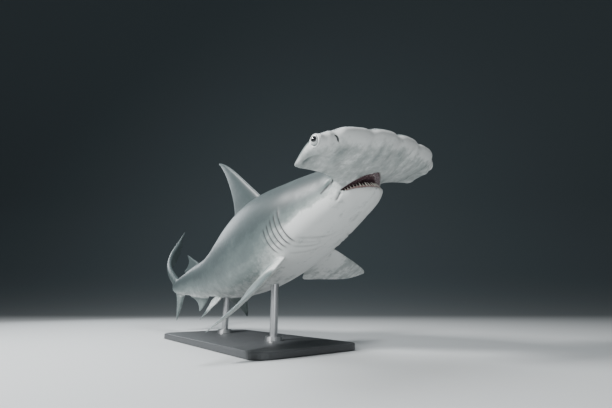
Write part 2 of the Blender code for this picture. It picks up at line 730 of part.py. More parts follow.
def make_base(surface):
    """The flat base: a plate with round corners and softened edges."""
    long, wide, thick = BASE_SIZE
    bpy.ops.mesh.primitive_cube_add(size=1.0)
    base = bpy.context.object
    base.name = "stand_base"
    base.data.transform(Matrix.Diagonal((long, wide, thick, 1.0)))
    work = bmesh.new()
    work.from_mesh(base.data)
    uprights = [e for e in work.edges if abs(e.verts[0].co.z - e.verts[1].co.z) > 0.5 * thick]
    bmesh.ops.bevel(work, geom=uprights, offset=BASE_CORNER, segments=8, profile=0.5,
                    affect="EDGES", offset_type="OFFSET")
    rims = [e for e in work.edges if abs(e.verts[0].co.z) > 0.45 * thick
            and abs(e.verts[0].co.z - e.verts[1].co.z) < 1e-6]
    bmesh.ops.bevel(work, geom=rims, offset=BASE_EDGE, segments=2, profile=0.5,
                    affect="EDGES", offset_type="OFFSET")
    work.to_mesh(base.data)
    work.free()
    base.location = (*BASE_CENTRE, BASE_TOP - 0.5 * thick)
    base.rotation_euler = (0.0, 0.0, math.radians(BASE_HEADING) - 0.5 * math.pi)
    move_to_collection(base, surface)
    round_shade(base)
    return base


def move_to_collection(piece, surface):
    """Put an object that an operator made among the parts."""
    for group in list(piece.users_collection):
        group.objects.unlink(piece)
    bpy.data.collections[COLLECTION].objects.link(piece)
    piece.data.name = piece.name
    piece.data.materials.clear()
    piece.data.materials.append(surface)


def make_rod(name, aft, surface):
    """A rod with a collar at its foot, cut to the belly above it."""
    belly = SPINE.bend(np.array([aft, 0.0, 0.0]))
    foot = BASE_TOP + GAP
    height = belly[2] - foot
    work = bmesh.new()
    bmesh.ops.create_cone(work, cap_ends=True, segments=28, radius1=ROD_RADIUS, radius2=ROD_RADIUS,
                          depth=height, matrix=Matrix.Translation((0.0, 0.0, 0.5 * height)))
    mesh = bpy.data.meshes.new(name)
    work.to_mesh(mesh)
    work.free()
    rod = add_object(name, mesh, COLLECTION, surface)
    rod.location = (belly[0], belly[1], foot)
    work = bmesh.new()
    bmesh.ops.create_cone(work, cap_ends=True, segments=28, radius1=COLLAR_RADIUS,
                          radius2=COLLAR_RADIUS * 0.9, depth=COLLAR_HEIGHT,
                          matrix=Matrix.Translation((0.0, 0.0, 0.5 * COLLAR_HEIGHT)))
    mesh = bpy.data.meshes.new(name + "_collar")
    work.to_mesh(mesh)
    work.free()
    collar = add_object(name + "_collar", mesh, CUTTERS, None)
    collar.location = rod.location
    bpy.context.view_layer.update()
    apply_boolean(rod, "UNION", [collar])
    apply_boolean(rod, "DIFFERENCE", [body_cutter()])
    round_shade(rod)
    return rod


def centre_model():
    """Parent everything to one empty that puts the origin under the middle of the model."""
    bpy.context.view_layer.update()
    parts = list(bpy.data.collections[COLLECTION].objects)
    corners = np.array([part.matrix_world @ v.co for part in parts for v in part.data.vertices])
    low = corners.min(0)
    high = corners.max(0)
    anchor = bpy.data.objects.new("model_origin", None)
    bpy.data.collections[COLLECTION].objects.link(anchor)
    anchor.location = (-0.5 * (low[0] + high[0]), -0.5 * (low[1] + high[1]), -low[2])
    for part in parts:
        part.parent = anchor


def build():
    """The whole model."""
    for old in list(bpy.data.objects):
        bpy.data.objects.remove(old)
    for name in (COLLECTION, CUTTERS):
        bpy.context.scene.collection.children.link(bpy.data.collections.new(name))
    flank = material("flank_skin", (0.30, 0.35, 0.35), 0.45)
    pale = material("pale_skin", (0.62, 0.66, 0.65), 0.42)
    eye_glaze = material("eye_glaze", (0.05, 0.05, 0.055), 0.12)
    steel = material("stand_steel", (0.55, 0.56, 0.57), 0.35, 1.0)
    plate = material("stand_plate", (0.10, 0.11, 0.12), 0.45)

    step = GAP / LENGTH
    smooth_parts = [
        make_head(pale),
        make_jaw(pale),
        body_length("neck_gills", NECK_BACK + step, GILLS_BACK, flank),
        body_length("torso_front", GILLS_BACK + step, CHEST_BACK, flank),
        body_length("torso_rear", CHEST_BACK + step, BELLY_BACK, flank),
        body_length("tail_stock", BELLY_BACK + step, BODY_END, flank),
    ]
    fins = [
        middle_fin("dorsal_fin_first", FIRST_DORSAL, 17, 0.0085, 0.0012, flank, station=0.325),
        middle_fin("dorsal_fin_second", SECOND_DORSAL, 12, 0.0050, 0.0009, flank),
        middle_fin("anal_fin", ANAL, 12, 0.0050, 0.0009, flank),
        side_fin("pectoral_fin_right", PECTORAL, 20, 0.0060, PECTORAL_ROOT, RIGHT_PECTORAL_TIP,
                 RIGHT_PECTORAL_TWIST, RIGHT_PECTORAL_BOW, flank),
        side_fin("pectoral_fin_left", PECTORAL, 20, 0.0060, PECTORAL_ROOT, LEFT_PECTORAL_TIP,
                 LEFT_PECTORAL_TWIST, LEFT_PECTORAL_BOW, flank),
        side_fin("pelvic_fin_right", PELVIC, 12, 0.0050, PELVIC_ROOT,
                 RIGHT_PELVIC_TIP, RIGHT_PELVIC_TWIST, 0.0, flank),
        side_fin("pelvic_fin_left", PELVIC, 12, 0.0050, PELVIC_ROOT,
                 LEFT_PELVIC_TIP, LEFT_PELVIC_TWIST, 0.0, flank),
    ]
    tail = middle_fin("tail_fin", TAIL_UPPER, 22, 0.0095, 0.0009, flank)
    lower = middle_fin("tail_lower", TAIL_LOWER, 12, 0.0080, 0.0009, flank)
    apply_boolean(tail, "UNION", [lower])
    fins.append(tail)
    for fin in fins:
        apply_boolean(fin, "DIFFERENCE", [body_cutter()])
    for side, name in ((1.0, "eye_left"), (-1.0, "eye_right")):
        place = (EYE[0], EYE[1] * side, EYE[2])
        smooth_parts.append(ball(name, place, (EYE_RADIUS, EYE_BULGE, EYE_RADIUS), COLLECTION, eye_glaze))
    for part in smooth_parts + fins:
        round_shade(part)
    make_base(plate)
    for name, aft in ROD_PLACES:
        make_rod(name, aft, steel)
    centre_model()


build()
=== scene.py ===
"""A great hammerhead shark, life size, as a still model on a display stand.

Every place on the animal is given on a straight body first: `aft` runs back from the snout,
`left` and `up` across it, all as fractions of the stretched length. `Spine` bends that body
into the pose, in metres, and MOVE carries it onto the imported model.
"""
import json
import math

import bmesh
import bpy
import numpy as np
from mathutils import Matrix, Vector
from mathutils.bvhtree import BVHTree
from mathutils.kdtree import KDTree
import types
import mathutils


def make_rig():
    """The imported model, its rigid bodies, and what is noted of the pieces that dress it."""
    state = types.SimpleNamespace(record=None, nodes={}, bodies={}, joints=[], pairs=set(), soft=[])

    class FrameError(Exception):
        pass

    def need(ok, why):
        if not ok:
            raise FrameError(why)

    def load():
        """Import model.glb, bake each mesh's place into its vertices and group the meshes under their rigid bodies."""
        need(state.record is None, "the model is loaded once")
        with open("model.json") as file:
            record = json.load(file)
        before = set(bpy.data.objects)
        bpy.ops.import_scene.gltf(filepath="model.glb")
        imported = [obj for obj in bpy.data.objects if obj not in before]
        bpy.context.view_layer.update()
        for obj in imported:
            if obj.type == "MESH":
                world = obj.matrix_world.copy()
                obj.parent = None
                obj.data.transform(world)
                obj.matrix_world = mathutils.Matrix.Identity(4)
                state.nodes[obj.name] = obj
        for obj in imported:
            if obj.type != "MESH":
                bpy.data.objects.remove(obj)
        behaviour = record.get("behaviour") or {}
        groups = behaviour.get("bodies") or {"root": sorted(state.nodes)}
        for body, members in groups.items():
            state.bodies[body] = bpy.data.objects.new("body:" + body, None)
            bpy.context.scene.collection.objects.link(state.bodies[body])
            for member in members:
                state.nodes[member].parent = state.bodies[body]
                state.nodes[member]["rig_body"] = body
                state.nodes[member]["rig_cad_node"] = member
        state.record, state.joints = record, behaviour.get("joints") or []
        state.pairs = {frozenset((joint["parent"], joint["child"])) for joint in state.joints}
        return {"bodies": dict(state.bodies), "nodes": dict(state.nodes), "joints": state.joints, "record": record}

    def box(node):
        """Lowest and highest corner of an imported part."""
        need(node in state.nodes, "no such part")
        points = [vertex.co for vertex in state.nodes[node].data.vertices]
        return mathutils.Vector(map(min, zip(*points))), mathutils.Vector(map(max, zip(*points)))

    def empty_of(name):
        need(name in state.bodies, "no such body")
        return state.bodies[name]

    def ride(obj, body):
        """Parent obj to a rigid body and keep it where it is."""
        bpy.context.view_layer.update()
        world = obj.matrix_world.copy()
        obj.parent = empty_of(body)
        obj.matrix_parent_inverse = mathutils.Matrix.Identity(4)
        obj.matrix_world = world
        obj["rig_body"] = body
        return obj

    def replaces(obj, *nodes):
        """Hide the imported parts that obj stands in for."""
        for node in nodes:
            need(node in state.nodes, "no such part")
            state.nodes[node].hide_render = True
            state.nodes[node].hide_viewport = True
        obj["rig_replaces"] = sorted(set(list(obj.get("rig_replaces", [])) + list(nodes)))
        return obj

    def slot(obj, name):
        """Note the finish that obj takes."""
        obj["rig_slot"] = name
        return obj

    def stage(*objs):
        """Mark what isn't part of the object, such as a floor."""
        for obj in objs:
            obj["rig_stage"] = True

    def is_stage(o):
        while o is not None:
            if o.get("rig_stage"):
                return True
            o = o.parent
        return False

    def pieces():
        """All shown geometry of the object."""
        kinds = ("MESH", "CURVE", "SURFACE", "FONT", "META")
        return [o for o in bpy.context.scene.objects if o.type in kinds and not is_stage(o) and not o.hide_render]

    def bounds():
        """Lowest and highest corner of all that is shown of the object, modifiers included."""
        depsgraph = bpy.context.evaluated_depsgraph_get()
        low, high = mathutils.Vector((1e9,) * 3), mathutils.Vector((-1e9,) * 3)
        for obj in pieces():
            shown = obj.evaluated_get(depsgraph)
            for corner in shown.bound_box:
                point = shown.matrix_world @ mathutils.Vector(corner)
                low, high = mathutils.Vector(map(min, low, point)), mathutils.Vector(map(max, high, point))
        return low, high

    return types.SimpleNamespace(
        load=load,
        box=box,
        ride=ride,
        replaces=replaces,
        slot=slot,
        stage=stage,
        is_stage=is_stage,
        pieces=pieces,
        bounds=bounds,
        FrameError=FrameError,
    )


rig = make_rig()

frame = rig.load()
cad_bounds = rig.bounds()

LENGTH = 3.40                    # stretched length, snout to the tip of the upper tail lobe
GAP = 0.0003                     # between an eyeball and its socket, in metres

# Pose. The snout's place is given from the eye point of somebody in front of the animal.
SNOUT = (0.401, 1.289, 0.697)
POSE = (
    # aft, heading, climb and bank in degrees
    (0.00, 37.2, 21.9, 9.4),
    (0.10, 37.8, 21.5, 9.7),
    (0.20, 42.0, 18.9, 12.5),
    (0.30, 40.1, 16.4, 14.3),
    (0.40, 35.3, 11.3, 15.6),
    (0.50, 36.5, 6.2, 16.0),
    (0.60, 45.4, 5.2, 15.5),
    (0.70, 45.6, 4.7, 13.4),
    (0.80, 25.6, 3.9, 10.3),
    (0.90, -11.1, 1.4, 6.8),
    (1.00, -50.0, 0.5, 2.0),
)

# Body: aft, half width, top, underside, all of LENGTH.
BODY = (
    (0.0655, 0.0080, -0.006, -0.0385),
    (0.0700, 0.0200, 0.000, -0.0410),
    (0.0800, 0.0330, 0.010, -0.0435),
    (0.0900, 0.0405, 0.019, -0.0455),
    (0.100, 0.0455, 0.027, -0.0472),
    (0.120, 0.0510, 0.036, -0.0500),
    (0.160, 0.0620, 0.051, -0.0560),
    (0.190, 0.0685, 0.060, -0.0605),
    (0.240, 0.0720, 0.074, -0.0665),
    (0.280, 0.0710, 0.081, -0.0705),
    (0.330, 0.0670, 0.082, -0.0710),
    (0.376, 0.0620, 0.078, -0.0680),
    (0.420, 0.0560, 0.072, -0.0615),
    (0.500, 0.0440, 0.058, -0.0480),
    (0.560, 0.034, 0.048, -0.0400),
    (0.610, 0.026, 0.041, -0.0340),
    (0.660, 0.019, 0.032, -0.0270),
    (0.700, 0.0145, 0.024, -0.0225),
    (0.730, 0.0115, 0.018, -0.0180),
    (0.755, 0.0070, 0.018, -0.0080),
)
BODY_SIDES = 132
BODY_ROUND = 2.25                # superellipse power of a section's upper half
BELLY_ROUND = 2.55               # and of its flatter lower half

# Hammer: front and rear margins and thickness against the distance from the middle.
FRONT_MARGIN = (
    (0.000, 0.0015), (0.0255, 0.0020), (0.0507, 0.0050), (0.070, 0.0080), (0.085, 0.0105),
    (0.1015, 0.0175), (0.112, 0.0265), (0.120, 0.0365), (0.1235, 0.0480),
)
REAR_MARGIN = (
    (0.000, 0.120), (0.030, 0.112), (0.050, 0.0900), (0.065, 0.0845), (0.085, 0.0815),
    (0.105, 0.0800), (0.115, 0.0795), (0.120, 0.0770), (0.1235, 0.0660),
)
HAMMER_TOP = (
    (0.000, 0.0190), (0.030, 0.0175), (0.060, 0.0125), (0.090, 0.0095), (0.110, 0.0090),
    (0.1235, 0.0090),
)
HAMMER_UNDER = (
    (0.000, 0.0170), (0.030, 0.0160), (0.060, 0.0130), (0.090, 0.0115), (0.110, 0.0110),
    (0.1235, 0.0105),
)
NOTCHES = (
    # distance from the middle, depth and half width of the dents in the front margin
    (0.0000, 0.0032, 0.0075),
    (0.0507, 0.0027, 0.0085),
    (0.1015, 0.0040, 0.0055),
)
HAMMER_VALLEYS = (
    # folds of the underside: distance from the middle, its drift and reach over the chord, depth, half width
    (0.0507, -0.024, 0.60, 0.0011, 0.0080),
    (0.1015, -0.006, 0.30, 0.0007, 0.0040),
    (0.0000, 0.000, 0.40, 0.0010, 0.0075),
    (0.0260, -0.010, 0.35, 0.0004, 0.0070),
)
HAMMER_HALF = 0.1215             # half the hammer's width
HAMMER_LIFT = -0.0040            # height of its front edge
HAMMER_DROOP = 0.0020            # how far its rear edge hangs below that
HAMMER_PEAK = 0.8816             # the most that hammer_profile reaches
TIP_ROUND = 0.0110               # how much of each end is rounded off
HAMMER_STEPS = 190
HAMMER_SIDES = 96
NECK_CREASE = ((0.0935, -0.0078), (0.1165, -0.0126))    # aft and up of its two ends

# Mouth: the gape between two heights over (aft, left), its roof and its floor.
MOUTH_BACK = 0.0975              # where the lips meet
MOUTH_HEIGHT = -0.0243
ROOF_FRONT = -0.0200             # height of the roof's plane at LIP_FRONT
LIP_FRONT = 0.0660               # front of the lower lip
GAPE_DROP = 0.0125               # how far the lower lip's front hangs below the corners
ROOF_SLOPE = (ROOF_FRONT - MOUTH_HEIGHT) / (MOUTH_BACK - LIP_FRONT)
FLOOR_SLOPE = GAPE_DROP / (MOUTH_BACK - LIP_FRONT)
GAPE_FRONT = 0.0400              # front end of the cutter, clear of the lips
GAPE_BACK = 0.1140               # and its back end, in the throat
CORNER_HALF = 0.0365             # half the distance between the corners
CORNER_SPREAD = 0.90             # how far out the lips' line runs for each step forward
THROAT = 0.1180                  # the vault and the hollow fade out towards it
VAULT_HEIGHT = 0.0022            # of the palate
RIDGE_HEIGHT = 0.0004            # of the ridges across it
RIDGE_TURNS = 1150.0             # how fast their sine turns along the mouth
GUM_HEIGHT = 0.0058
HOLLOW_DEPTH = 0.0085            # behind the lower gum
TONGUE_HEIGHT = 0.0035
# Superellipses round the jaws: front, half width and power.
UPPER_LIP = (0.0535, 0.0390, 1.40)
UPPER_ARC = (0.0575, 0.0345, 1.40)
LOWER_ARC = (0.0668, 0.0380, 1.75)
# Where the mouth's lining may show: half width, front, back and how far below the floor.
LINING_HALF = 0.0392
LINING_FRONT = 0.050
LINING_BACK = 0.1145
LINING_BELOW = 0.0022
TEETH = 26                       # in each jaw
TOOTH = 0.0030                   # height of a middle tooth, before its jaw's scale
TOOTH_SWING = 84.0               # degrees of a jaw's arc that they fill on each side
TOOTH_LEVELS = 6
TOOTH_SIDES = 8
TOOTH_SEED = 5

# Eyes and nostrils.
EYE = (0.0375, 0.1192, -0.0050)
EYE_RADIUS = 0.0060
EYE_BULGE = 0.0050               # radius of the eyeball across the head
EYE_RADII = (EYE_RADIUS, EYE_BULGE, EYE_RADIUS)
GAZE = (-0.42, 0.88, -0.12)
LID_WIDTH = 0.0012
MOUND = (0.0375, 0.1155, -0.0050)    # middle of the swelling that carries the eye
MOUND_RADII = (0.0112, 0.0052, 0.0082)
NOSTRIL = (
    # places along the slot
    (0.0239, 0.1026, -0.0058), (0.0233, 0.1009, -0.0073), (0.0240, 0.0985, -0.0091),
    (0.0245, 0.0984, -0.0122), (0.0257, 0.0965, -0.0140),
)
NOSTRIL_HALF = 0.0014            # half its width
NOSTRIL_STEPS = 40
# Where the nostril slot gets painted shade, black deeper in: between two distances from the middle, and no further aft
# than the last.
SLOT_INNER = 0.088
SLOT_OUTER = 0.107
SLOT_BACK = 0.0295

# Gill slits, one flap after another.
GILL_FIRST = 0.1890
GILL_LAST = 0.2245
GILLS = 5
GILL_PITCH = (GILL_LAST - GILL_FIRST) / (GILLS - 1)
GILL_TOP = 0.012                 # height of the first slit's top
GILL_TOP_STEP = 0.0028           # how much lower each slit starts than the one before
GILL_BOTTOM = -0.046
GILL_RISE = 0.0028               # how far a flap's edge stands off the flank
GILL_BOW = 0.0042                # how far the slits bow back at their middle
GILL_BOW_MIDDLE = -0.016         # its height
GILL_BOW_REACH = 0.030           # and the height from there to either end
GILL_RINGS_FRONT = 0.175         # between these two places the body's rings lie close
GILL_RINGS_BACK = 0.236
SLIT_RINGS = (-0.0008, -0.0003, 0.0, 0.0003, 0.0007, 0.0012)    # and here beside each slit

# Folds of the hide: the side they are on (1 left, -1 right, 0 both), the places they run through,
# their width and depth in metres, and how dark the painted shade at their bottom is. A negative depth is a ridge.
FOLDS = (
    # behind the corner of the mouth
    (0, ((0.0905, 0.0398, -0.0250), (0.0966, 0.0420, -0.0291), (0.1021, 0.0428, -0.0318),
         (0.1065, 0.0436, -0.0330)), 0.0055, 0.0045, 0.9),
    # between the hammer and the neck
    (0, ((0.0889, 0.0492, -0.0085), (0.0947, 0.0456, -0.0075), (0.0988, 0.0452, -0.0083),
         (0.1037, 0.0470, -0.0105), (0.1103, 0.0490, -0.0120), (0.1210, 0.0492, -0.0121)),
     0.0100, 0.0065, 0.6),
    # aft from the nostrils, as the photograph has them
    (1, ((0.0215, 0.0930, -0.0135), (0.0281, 0.0914, -0.0155), (0.0351, 0.0894, -0.0166),
         (0.0418, 0.0905, -0.0158), (0.0520, 0.0915, -0.0150)), 0.0070, 0.0050, 0.6),
    (-1, ((0.0240, 0.0950, -0.0143), (0.0299, 0.0955, -0.0162), (0.0359, 0.0969, -0.0171),
          (0.0485, 0.0949, -0.0146)), 0.0100, -0.0035, 0.0),
    # the hollow towards each end of the hammer
    (0, ((0.0730, 0.1150, -0.0135), (0.0650, 0.1125, -0.0150), (0.0558, 0.1080, -0.0160),
         (0.0498, 0.0992, -0.0165), (0.0470, 0.0890, -0.0165)), 0.0240, 0.0070, 0.16),
    # under the hammer
    (1, ((0.0045, 0.0390, -0.0090), (0.0194, 0.0319, -0.0177), (0.0335, 0.0294, -0.0201),
         (0.0481, 0.0314, -0.0205), (0.0620, 0.0350, -0.0200)), 0.0160, 0.0095, 0.05),
    (-1, ((0.0030, 0.0330, -0.0080), (0.0094, 0.0447, -0.0129), (0.0160, 0.0495, -0.0155),
          (0.0230, 0.0590, -0.0161)), 0.0100, 0.0040, 0.0),
    (-1, ((0.0025, 0.0160, -0.0080), (0.0110, 0.0230, -0.0140), (0.0210, 0.0270, -0.0185),
          (0.0330, 0.0330, -0.0195)), 0.0120, 0.0035, 0.0),
    (-1, ((0.0450, 0.0720, -0.0160), (0.0560, 0.0660, -0.0160), (0.0660, 0.0560, -0.0170),
          (0.0740, 0.0470, -0.0180)), 0.0180, 0.0050, 0.0),
    # across the throat, below the gills
    (0, ((0.1869, 0.0604, -0.0385), (0.1760, 0.0506, -0.0461), (0.1663, 0.0374, -0.0516),
         (0.1565, 0.0202, -0.0541), (0.1423, 0.0073, -0.0532)), 0.0090, 0.0024, 0.34),
    (0, ((0.1950, 0.0600, -0.0400), (0.1838, 0.0490, -0.0490), (0.1736, 0.0350, -0.0540),
         (0.1630, 0.0180, -0.0556)), 0.0080, 0.0016, 0.20),
    (0, ((0.2018, 0.0582, -0.0441), (0.1910, 0.0469, -0.0517), (0.1810, 0.0328, -0.0558),
         (0.1672, 0.0157, -0.0565)), 0.0090, 0.0024, 0.32),
    (0, ((0.2150, 0.0560, -0.0490), (0.2040, 0.0440, -0.0550), (0.1930, 0.0300, -0.0585),
         (0.1800, 0.0140, -0.0590)), 0.0090, 0.0020, 0.26),
    # along the throat, behind the chin
    (0, ((0.0760, 0.0165, -0.0420), (0.0978, 0.0152, -0.0460), (0.1136, 0.0156, -0.0483),
         (0.1330, 0.0180, -0.0503)), 0.0220, 0.0030, 0.0),
)

# Fins. Each station: distance out from the body's middle line, leading edge, trailing edge.
FIRST_DORSAL = (
    (0.055, 0.262, 0.385), (0.079, 0.277, 0.400), (0.088, 0.282, 0.386), (0.100, 0.289, 0.374),
    (0.125, 0.304, 0.366), (0.150, 0.319, 0.363), (0.175, 0.335, 0.363), (0.195, 0.350, 0.3665),
    (0.208, 0.363, 0.3715), (0.214, 0.371, 0.3750),
)
SECOND_DORSAL = (
    (0.022, 0.595, 0.664), (0.034, 0.601, 0.684), (0.041, 0.606, 0.668), (0.050, 0.617, 0.657),
    (0.058, 0.631, 0.6525), (0.066, 0.643, 0.6535), (0.0710, 0.6515, 0.6550),
)
ANAL = (
    (-0.016, 0.580, 0.656), (-0.027, 0.585, 0.680), (-0.036, 0.591, 0.661), (-0.046, 0.603, 0.649),
    (-0.055, 0.617, 0.6455), (-0.064, 0.633, 0.6465), (-0.0690, 0.6435, 0.6480),
)
TAIL_UPPER = (
    # height, leading edge, trailing edge
    (-0.010, 0.700, 0.7440), (0.010, 0.7120, 0.7660), (0.030, 0.7400, 0.7960), (0.055, 0.7760, 0.8370),
    (0.085, 0.8180, 0.8770), (0.115, 0.8530, 0.9000), (0.140, 0.8785, 0.9090), (0.153, 0.8900, 0.9140),
    (0.158, 0.8940, 0.9120), (0.172, 0.9045, 0.9150), (0.188, 0.9155, 0.9205), (0.196, 0.9200, 0.9225),
)
TAIL_LOWER = (
    (0.012, 0.7050, 0.7700), (-0.006, 0.7010, 0.7560), (-0.020, 0.7030, 0.7500), (-0.035, 0.7150, 0.7535),
    (-0.055, 0.7360, 0.7620), (-0.072, 0.7570, 0.7710), (-0.083, 0.7715, 0.7760),
)
PECTORAL = (
    # distance along the fin, leading edge, trailing edge, and its share of the blade's bow
    (-0.020, 0.0000, 0.0620, 0.00), (0.000, 0.0000, 0.0740, 0.00), (0.010, 0.0008, 0.0890, 0.08),
    (0.020, 0.0026, 0.0900, 0.22), (0.045, 0.0080, 0.0805, 0.62), (0.075, 0.0160, 0.0725, 0.95),
    (0.103, 0.0260, 0.0658, 1.00), (0.127, 0.0370, 0.0610, 0.62), (0.143, 0.0470, 0.0585, 0.22),
    (0.151, 0.0535, 0.0572, 0.00),
)
PELVIC = (
    (-0.014, 0.0000, 0.0340, 0.0), (0.000, 0.0000, 0.0420, 0.0), (0.008, 0.0010, 0.0530, 0.0),
    (0.016, 0.0050, 0.0490, 0.0), (0.030, 0.0130, 0.0430, 0.0), (0.044, 0.0230, 0.0400, 0.0),
    (0.054, 0.0320, 0.0390, 0.0), (0.0585, 0.0365, 0.0385, 0.0),
)
MIDDLE_FINS = (
    # name, stations, rings, half thickness at root and tip, and the place of the spine that it rides on
    ("dorsal_1", FIRST_DORSAL, 60, 0.0085, 0.0012, 0.325),
    ("dorsal_2", SECOND_DORSAL, 34, 0.0050, 0.0009, None),
    ("anal", ANAL, 34, 0.0050, 0.0009, None),
)
TAIL_LOBES = (
    ("tail_upper", TAIL_UPPER, 90, 0.0095, 0.0009, None),
    ("tail_lower", TAIL_LOWER, 40, 0.0080, 0.0009, None),
)
PECTORAL_ROOT = (0.2210, 0.0480, -0.0480)
PELVIC_ROOT = (0.4750, 0.0240, -0.0420)
SIDE_FINS = (
    # name, stations, rings, half thickness, root, direction to the tip, degrees of twist with the
    # leading edge up, and how far the blade bows above the line from root to tip
    ("pectoral_r", PECTORAL, 70, 0.0060, PECTORAL_ROOT, (0.1348, -0.895, -0.3865), 4.9, -0.0040),
    ("pectoral_l", PECTORAL, 70, 0.0060, PECTORAL_ROOT, (0.3513, 0.905, -0.2321), 13.3, -0.0097),
    ("pelvic_r", PELVIC, 34, 0.0050, PELVIC_ROOT, (0.54, -0.670, -0.510), 0.0, 0.0),
    ("pelvic_l", PELVIC, 34, 0.0050, PELVIC_ROOT, (0.52, 0.320, -0.790), 22.0, 0.0),
)
SIDE_FIN_TIP = 0.0009            # half thickness there
FIN_SIDES = 44

# Stand: the base's middle and top, from the same eye point as the snout, and its height.
BASE_CENTRE = (-0.360, 2.190)
BASE_TOP = -0.190
BASE_HEIGHT = 0.034

# Camera: the photograph's eye point, its focal length in pixels and its pitch in degrees.
PHOTO_WIDTH = 612.0
PHOTO_FOCAL = 338.5
EYE_PITCH = 106.5
SENSOR_WIDTH = 36.0

# Studio.
FLOOR_HALF = 24.0
BACKDROP_START = 5.0             # where the floor begins to curve up, and by how much
BACKDROP_CURVE = 4.0
LAMP_AIM = (0.0, -0.2, 0.8)
COOL = (0.96, 0.98, 1.0)
LAMPS = (
    # name, place, aim, size, power and colour
    ("key", (-2.7, -2.3, 3.1), LAMP_AIM, 0.9, 380.0, (1.0, 1.0, 1.0)),
    ("top", (0.4, -0.4, 3.8), LAMP_AIM, 1.6, 110.0, COOL),
    ("low_fill", (0.9, -3.8, 0.45), (0.5, -0.9, 0.9), 1.2, 12.0, COOL),
    ("rim", (-2.8, 2.4, 2.2), LAMP_AIM, 1.6, 60.0, (0.90, 0.96, 1.0)),
)


def smooth(table, where):
    """Every column of a table at `where`, on a cubic that runs smoothly through its rows."""
    rows = np.asarray(table, float)
    knots = rows[:, 0]
    values = rows[:, 1:]
    slopes = np.gradient(values, knots, axis=0)
    where = np.clip(np.asarray(where, float), knots[0], knots[-1])
    low = np.clip(np.searchsorted(knots, where, side="right") - 1, 0, len(knots) - 2)
    width = knots[low + 1] - knots[low]
    t = ((where - knots[low]) / width)[..., None]
    width = width[..., None]
    return (
        (2 * t**3 - 3 * t**2 + 1) * values[low]
        + (t**3 - 2 * t**2 + t) * width * slopes[low]
        + (3 * t**2 - 2 * t**3) * values[low + 1]
        + (t**3 - t**2) * width * slopes[low + 1]
    )


def unit(vectors):
    """Vectors scaled to length one."""
    vectors = np.asarray(vectors, float)
    return vectors / np.linalg.norm(vectors, axis=-1, keepdims=True)


class Spine:
    """The bent centre line with its forward, left and up directions."""

    STEPS = 800

    def __init__(self):
        self.aft = np.linspace(0.0, 1.0, self.STEPS + 1)
        self.axes = self.turn(self.aft)
        forward = self.axes[:, 0]
        middle = 0.5 * (forward[1:] + forward[:-1])
        run = np.cumsum(middle, axis=0) * LENGTH / self.STEPS
        self.line = np.asarray(SNOUT) - np.vstack([np.zeros(3), run])

    def turn(self, aft):
        """Forward, left and up at `aft`, from the heading, climb and bank."""
        heading, climb, bank = np.radians(smooth(POSE, aft)).T
        forward = np.stack(
            [np.sin(heading) * np.cos(climb), -np.cos(heading) * np.cos(climb), np.sin(climb)], -1
        )
        level = np.stack([np.cos(heading), np.sin(heading), np.zeros_like(heading)], -1)
        over = np.cross(forward, level)
        left = level * np.cos(bank)[:, None] + over * np.sin(bank)[:, None]
        return np.stack([forward, left, np.cross(forward, left)], 1)

    def frame(self, aft):
        """Point of the centre line and its three directions at each `aft`."""
        aft = np.atleast_1d(np.asarray(aft, float))
        line = np.stack([np.interp(aft, self.aft, self.line[:, k]) for k in range(3)], -1)
        beyond = (np.minimum(aft, 0.0) * LENGTH)[:, None]
        line = line - beyond * self.axes[0, 0]
        return line, self.turn(np.clip(aft, 0.0, 1.0))

    def bend(self, points):
        """Points of the straight body (aft, left, up), carried into the pose, in metres."""
        points = np.asarray(points, float)
        flat = points.reshape(-1, 3)
        line, axes = self.frame(flat[:, 0])
        placed = line + LENGTH * (flat[:, 1:2] * axes[:, 1] + flat[:, 2:3] * axes[:, 2])
        return placed.reshape(points.shape)

    def stiff(self, points, station):
        """Points of the straight body carried as one stiff piece with the spine at `station`."""
        points = np.asarray(points, float)
        line, axes = self.frame(station)
        offset = points - np.array([station, 0.0, 0.0])
        back = -offset[..., 0:1] * axes[0, 0]
        return line[0] + LENGTH * (back + offset[..., 1:2] * axes[0, 1] + offset[..., 2:3] * axes[0, 2])


SPINE = Spine()


def stand_move():
    """From the eye point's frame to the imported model's, measured on the stand's base."""
    low, high = (np.array(corner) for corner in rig.box("stand_base"))
    middle = 0.5 * (low + high)
    return np.array([middle[0] - BASE_CENTRE[0], middle[1] - BASE_CENTRE[1], BASE_HEIGHT - BASE_TOP])


MOVE = stand_move()


def ease(low, high, value):
    """A smooth step from 0 at `low` to 1 at `high`."""
    t = np.clip((np.asarray(value, float) - low) / (high - low), 0.0, 1.0)
    return t * t * (3.0 - 2.0 * t)


def bell(value, middle, reach):
    """1 at `middle`, falling off on both sides over `reach`."""
    return np.exp(-((value - middle) / reach) ** 2)


def mirrored(places, side):
    """Places of the left half, or their mirror images where `side` is -1."""
    return np.asarray(places, float) * (1.0, side, 1.0)


def circle(count, start=0.0):
    """Angles evenly round a circle, the first of them `start` steps along."""
    return 2.0 * math.pi * (np.arange(count) + start) / count


def loft_faces(count, sides):
    """Quads that join (i, j), (i, j + 1), (i + 1, j + 1) and (i + 1, j) of `count` closed rings."""
    index = np.arange(count * sides).reshape(count, sides)
    here = index[:-1]
    ahead = index[1:]
    return np.stack([here, np.roll(here, -1, 1), np.roll(ahead, -1, 1), ahead], -1).reshape(-1, 4)


def face_outward(work):
    """Turn a closed surface's faces outward."""
    bmesh.ops.recalc_face_normals(work, faces=work.faces)
    if work.calc_volume(signed=True) < 0.0:
        bmesh.ops.reverse_faces(work, faces=work.faces)


def add_object(name, data):
    """A new object in the scene."""
    made = bpy.data.objects.new(name, data)
    bpy.context.scene.collection.objects.link(made)
    return made


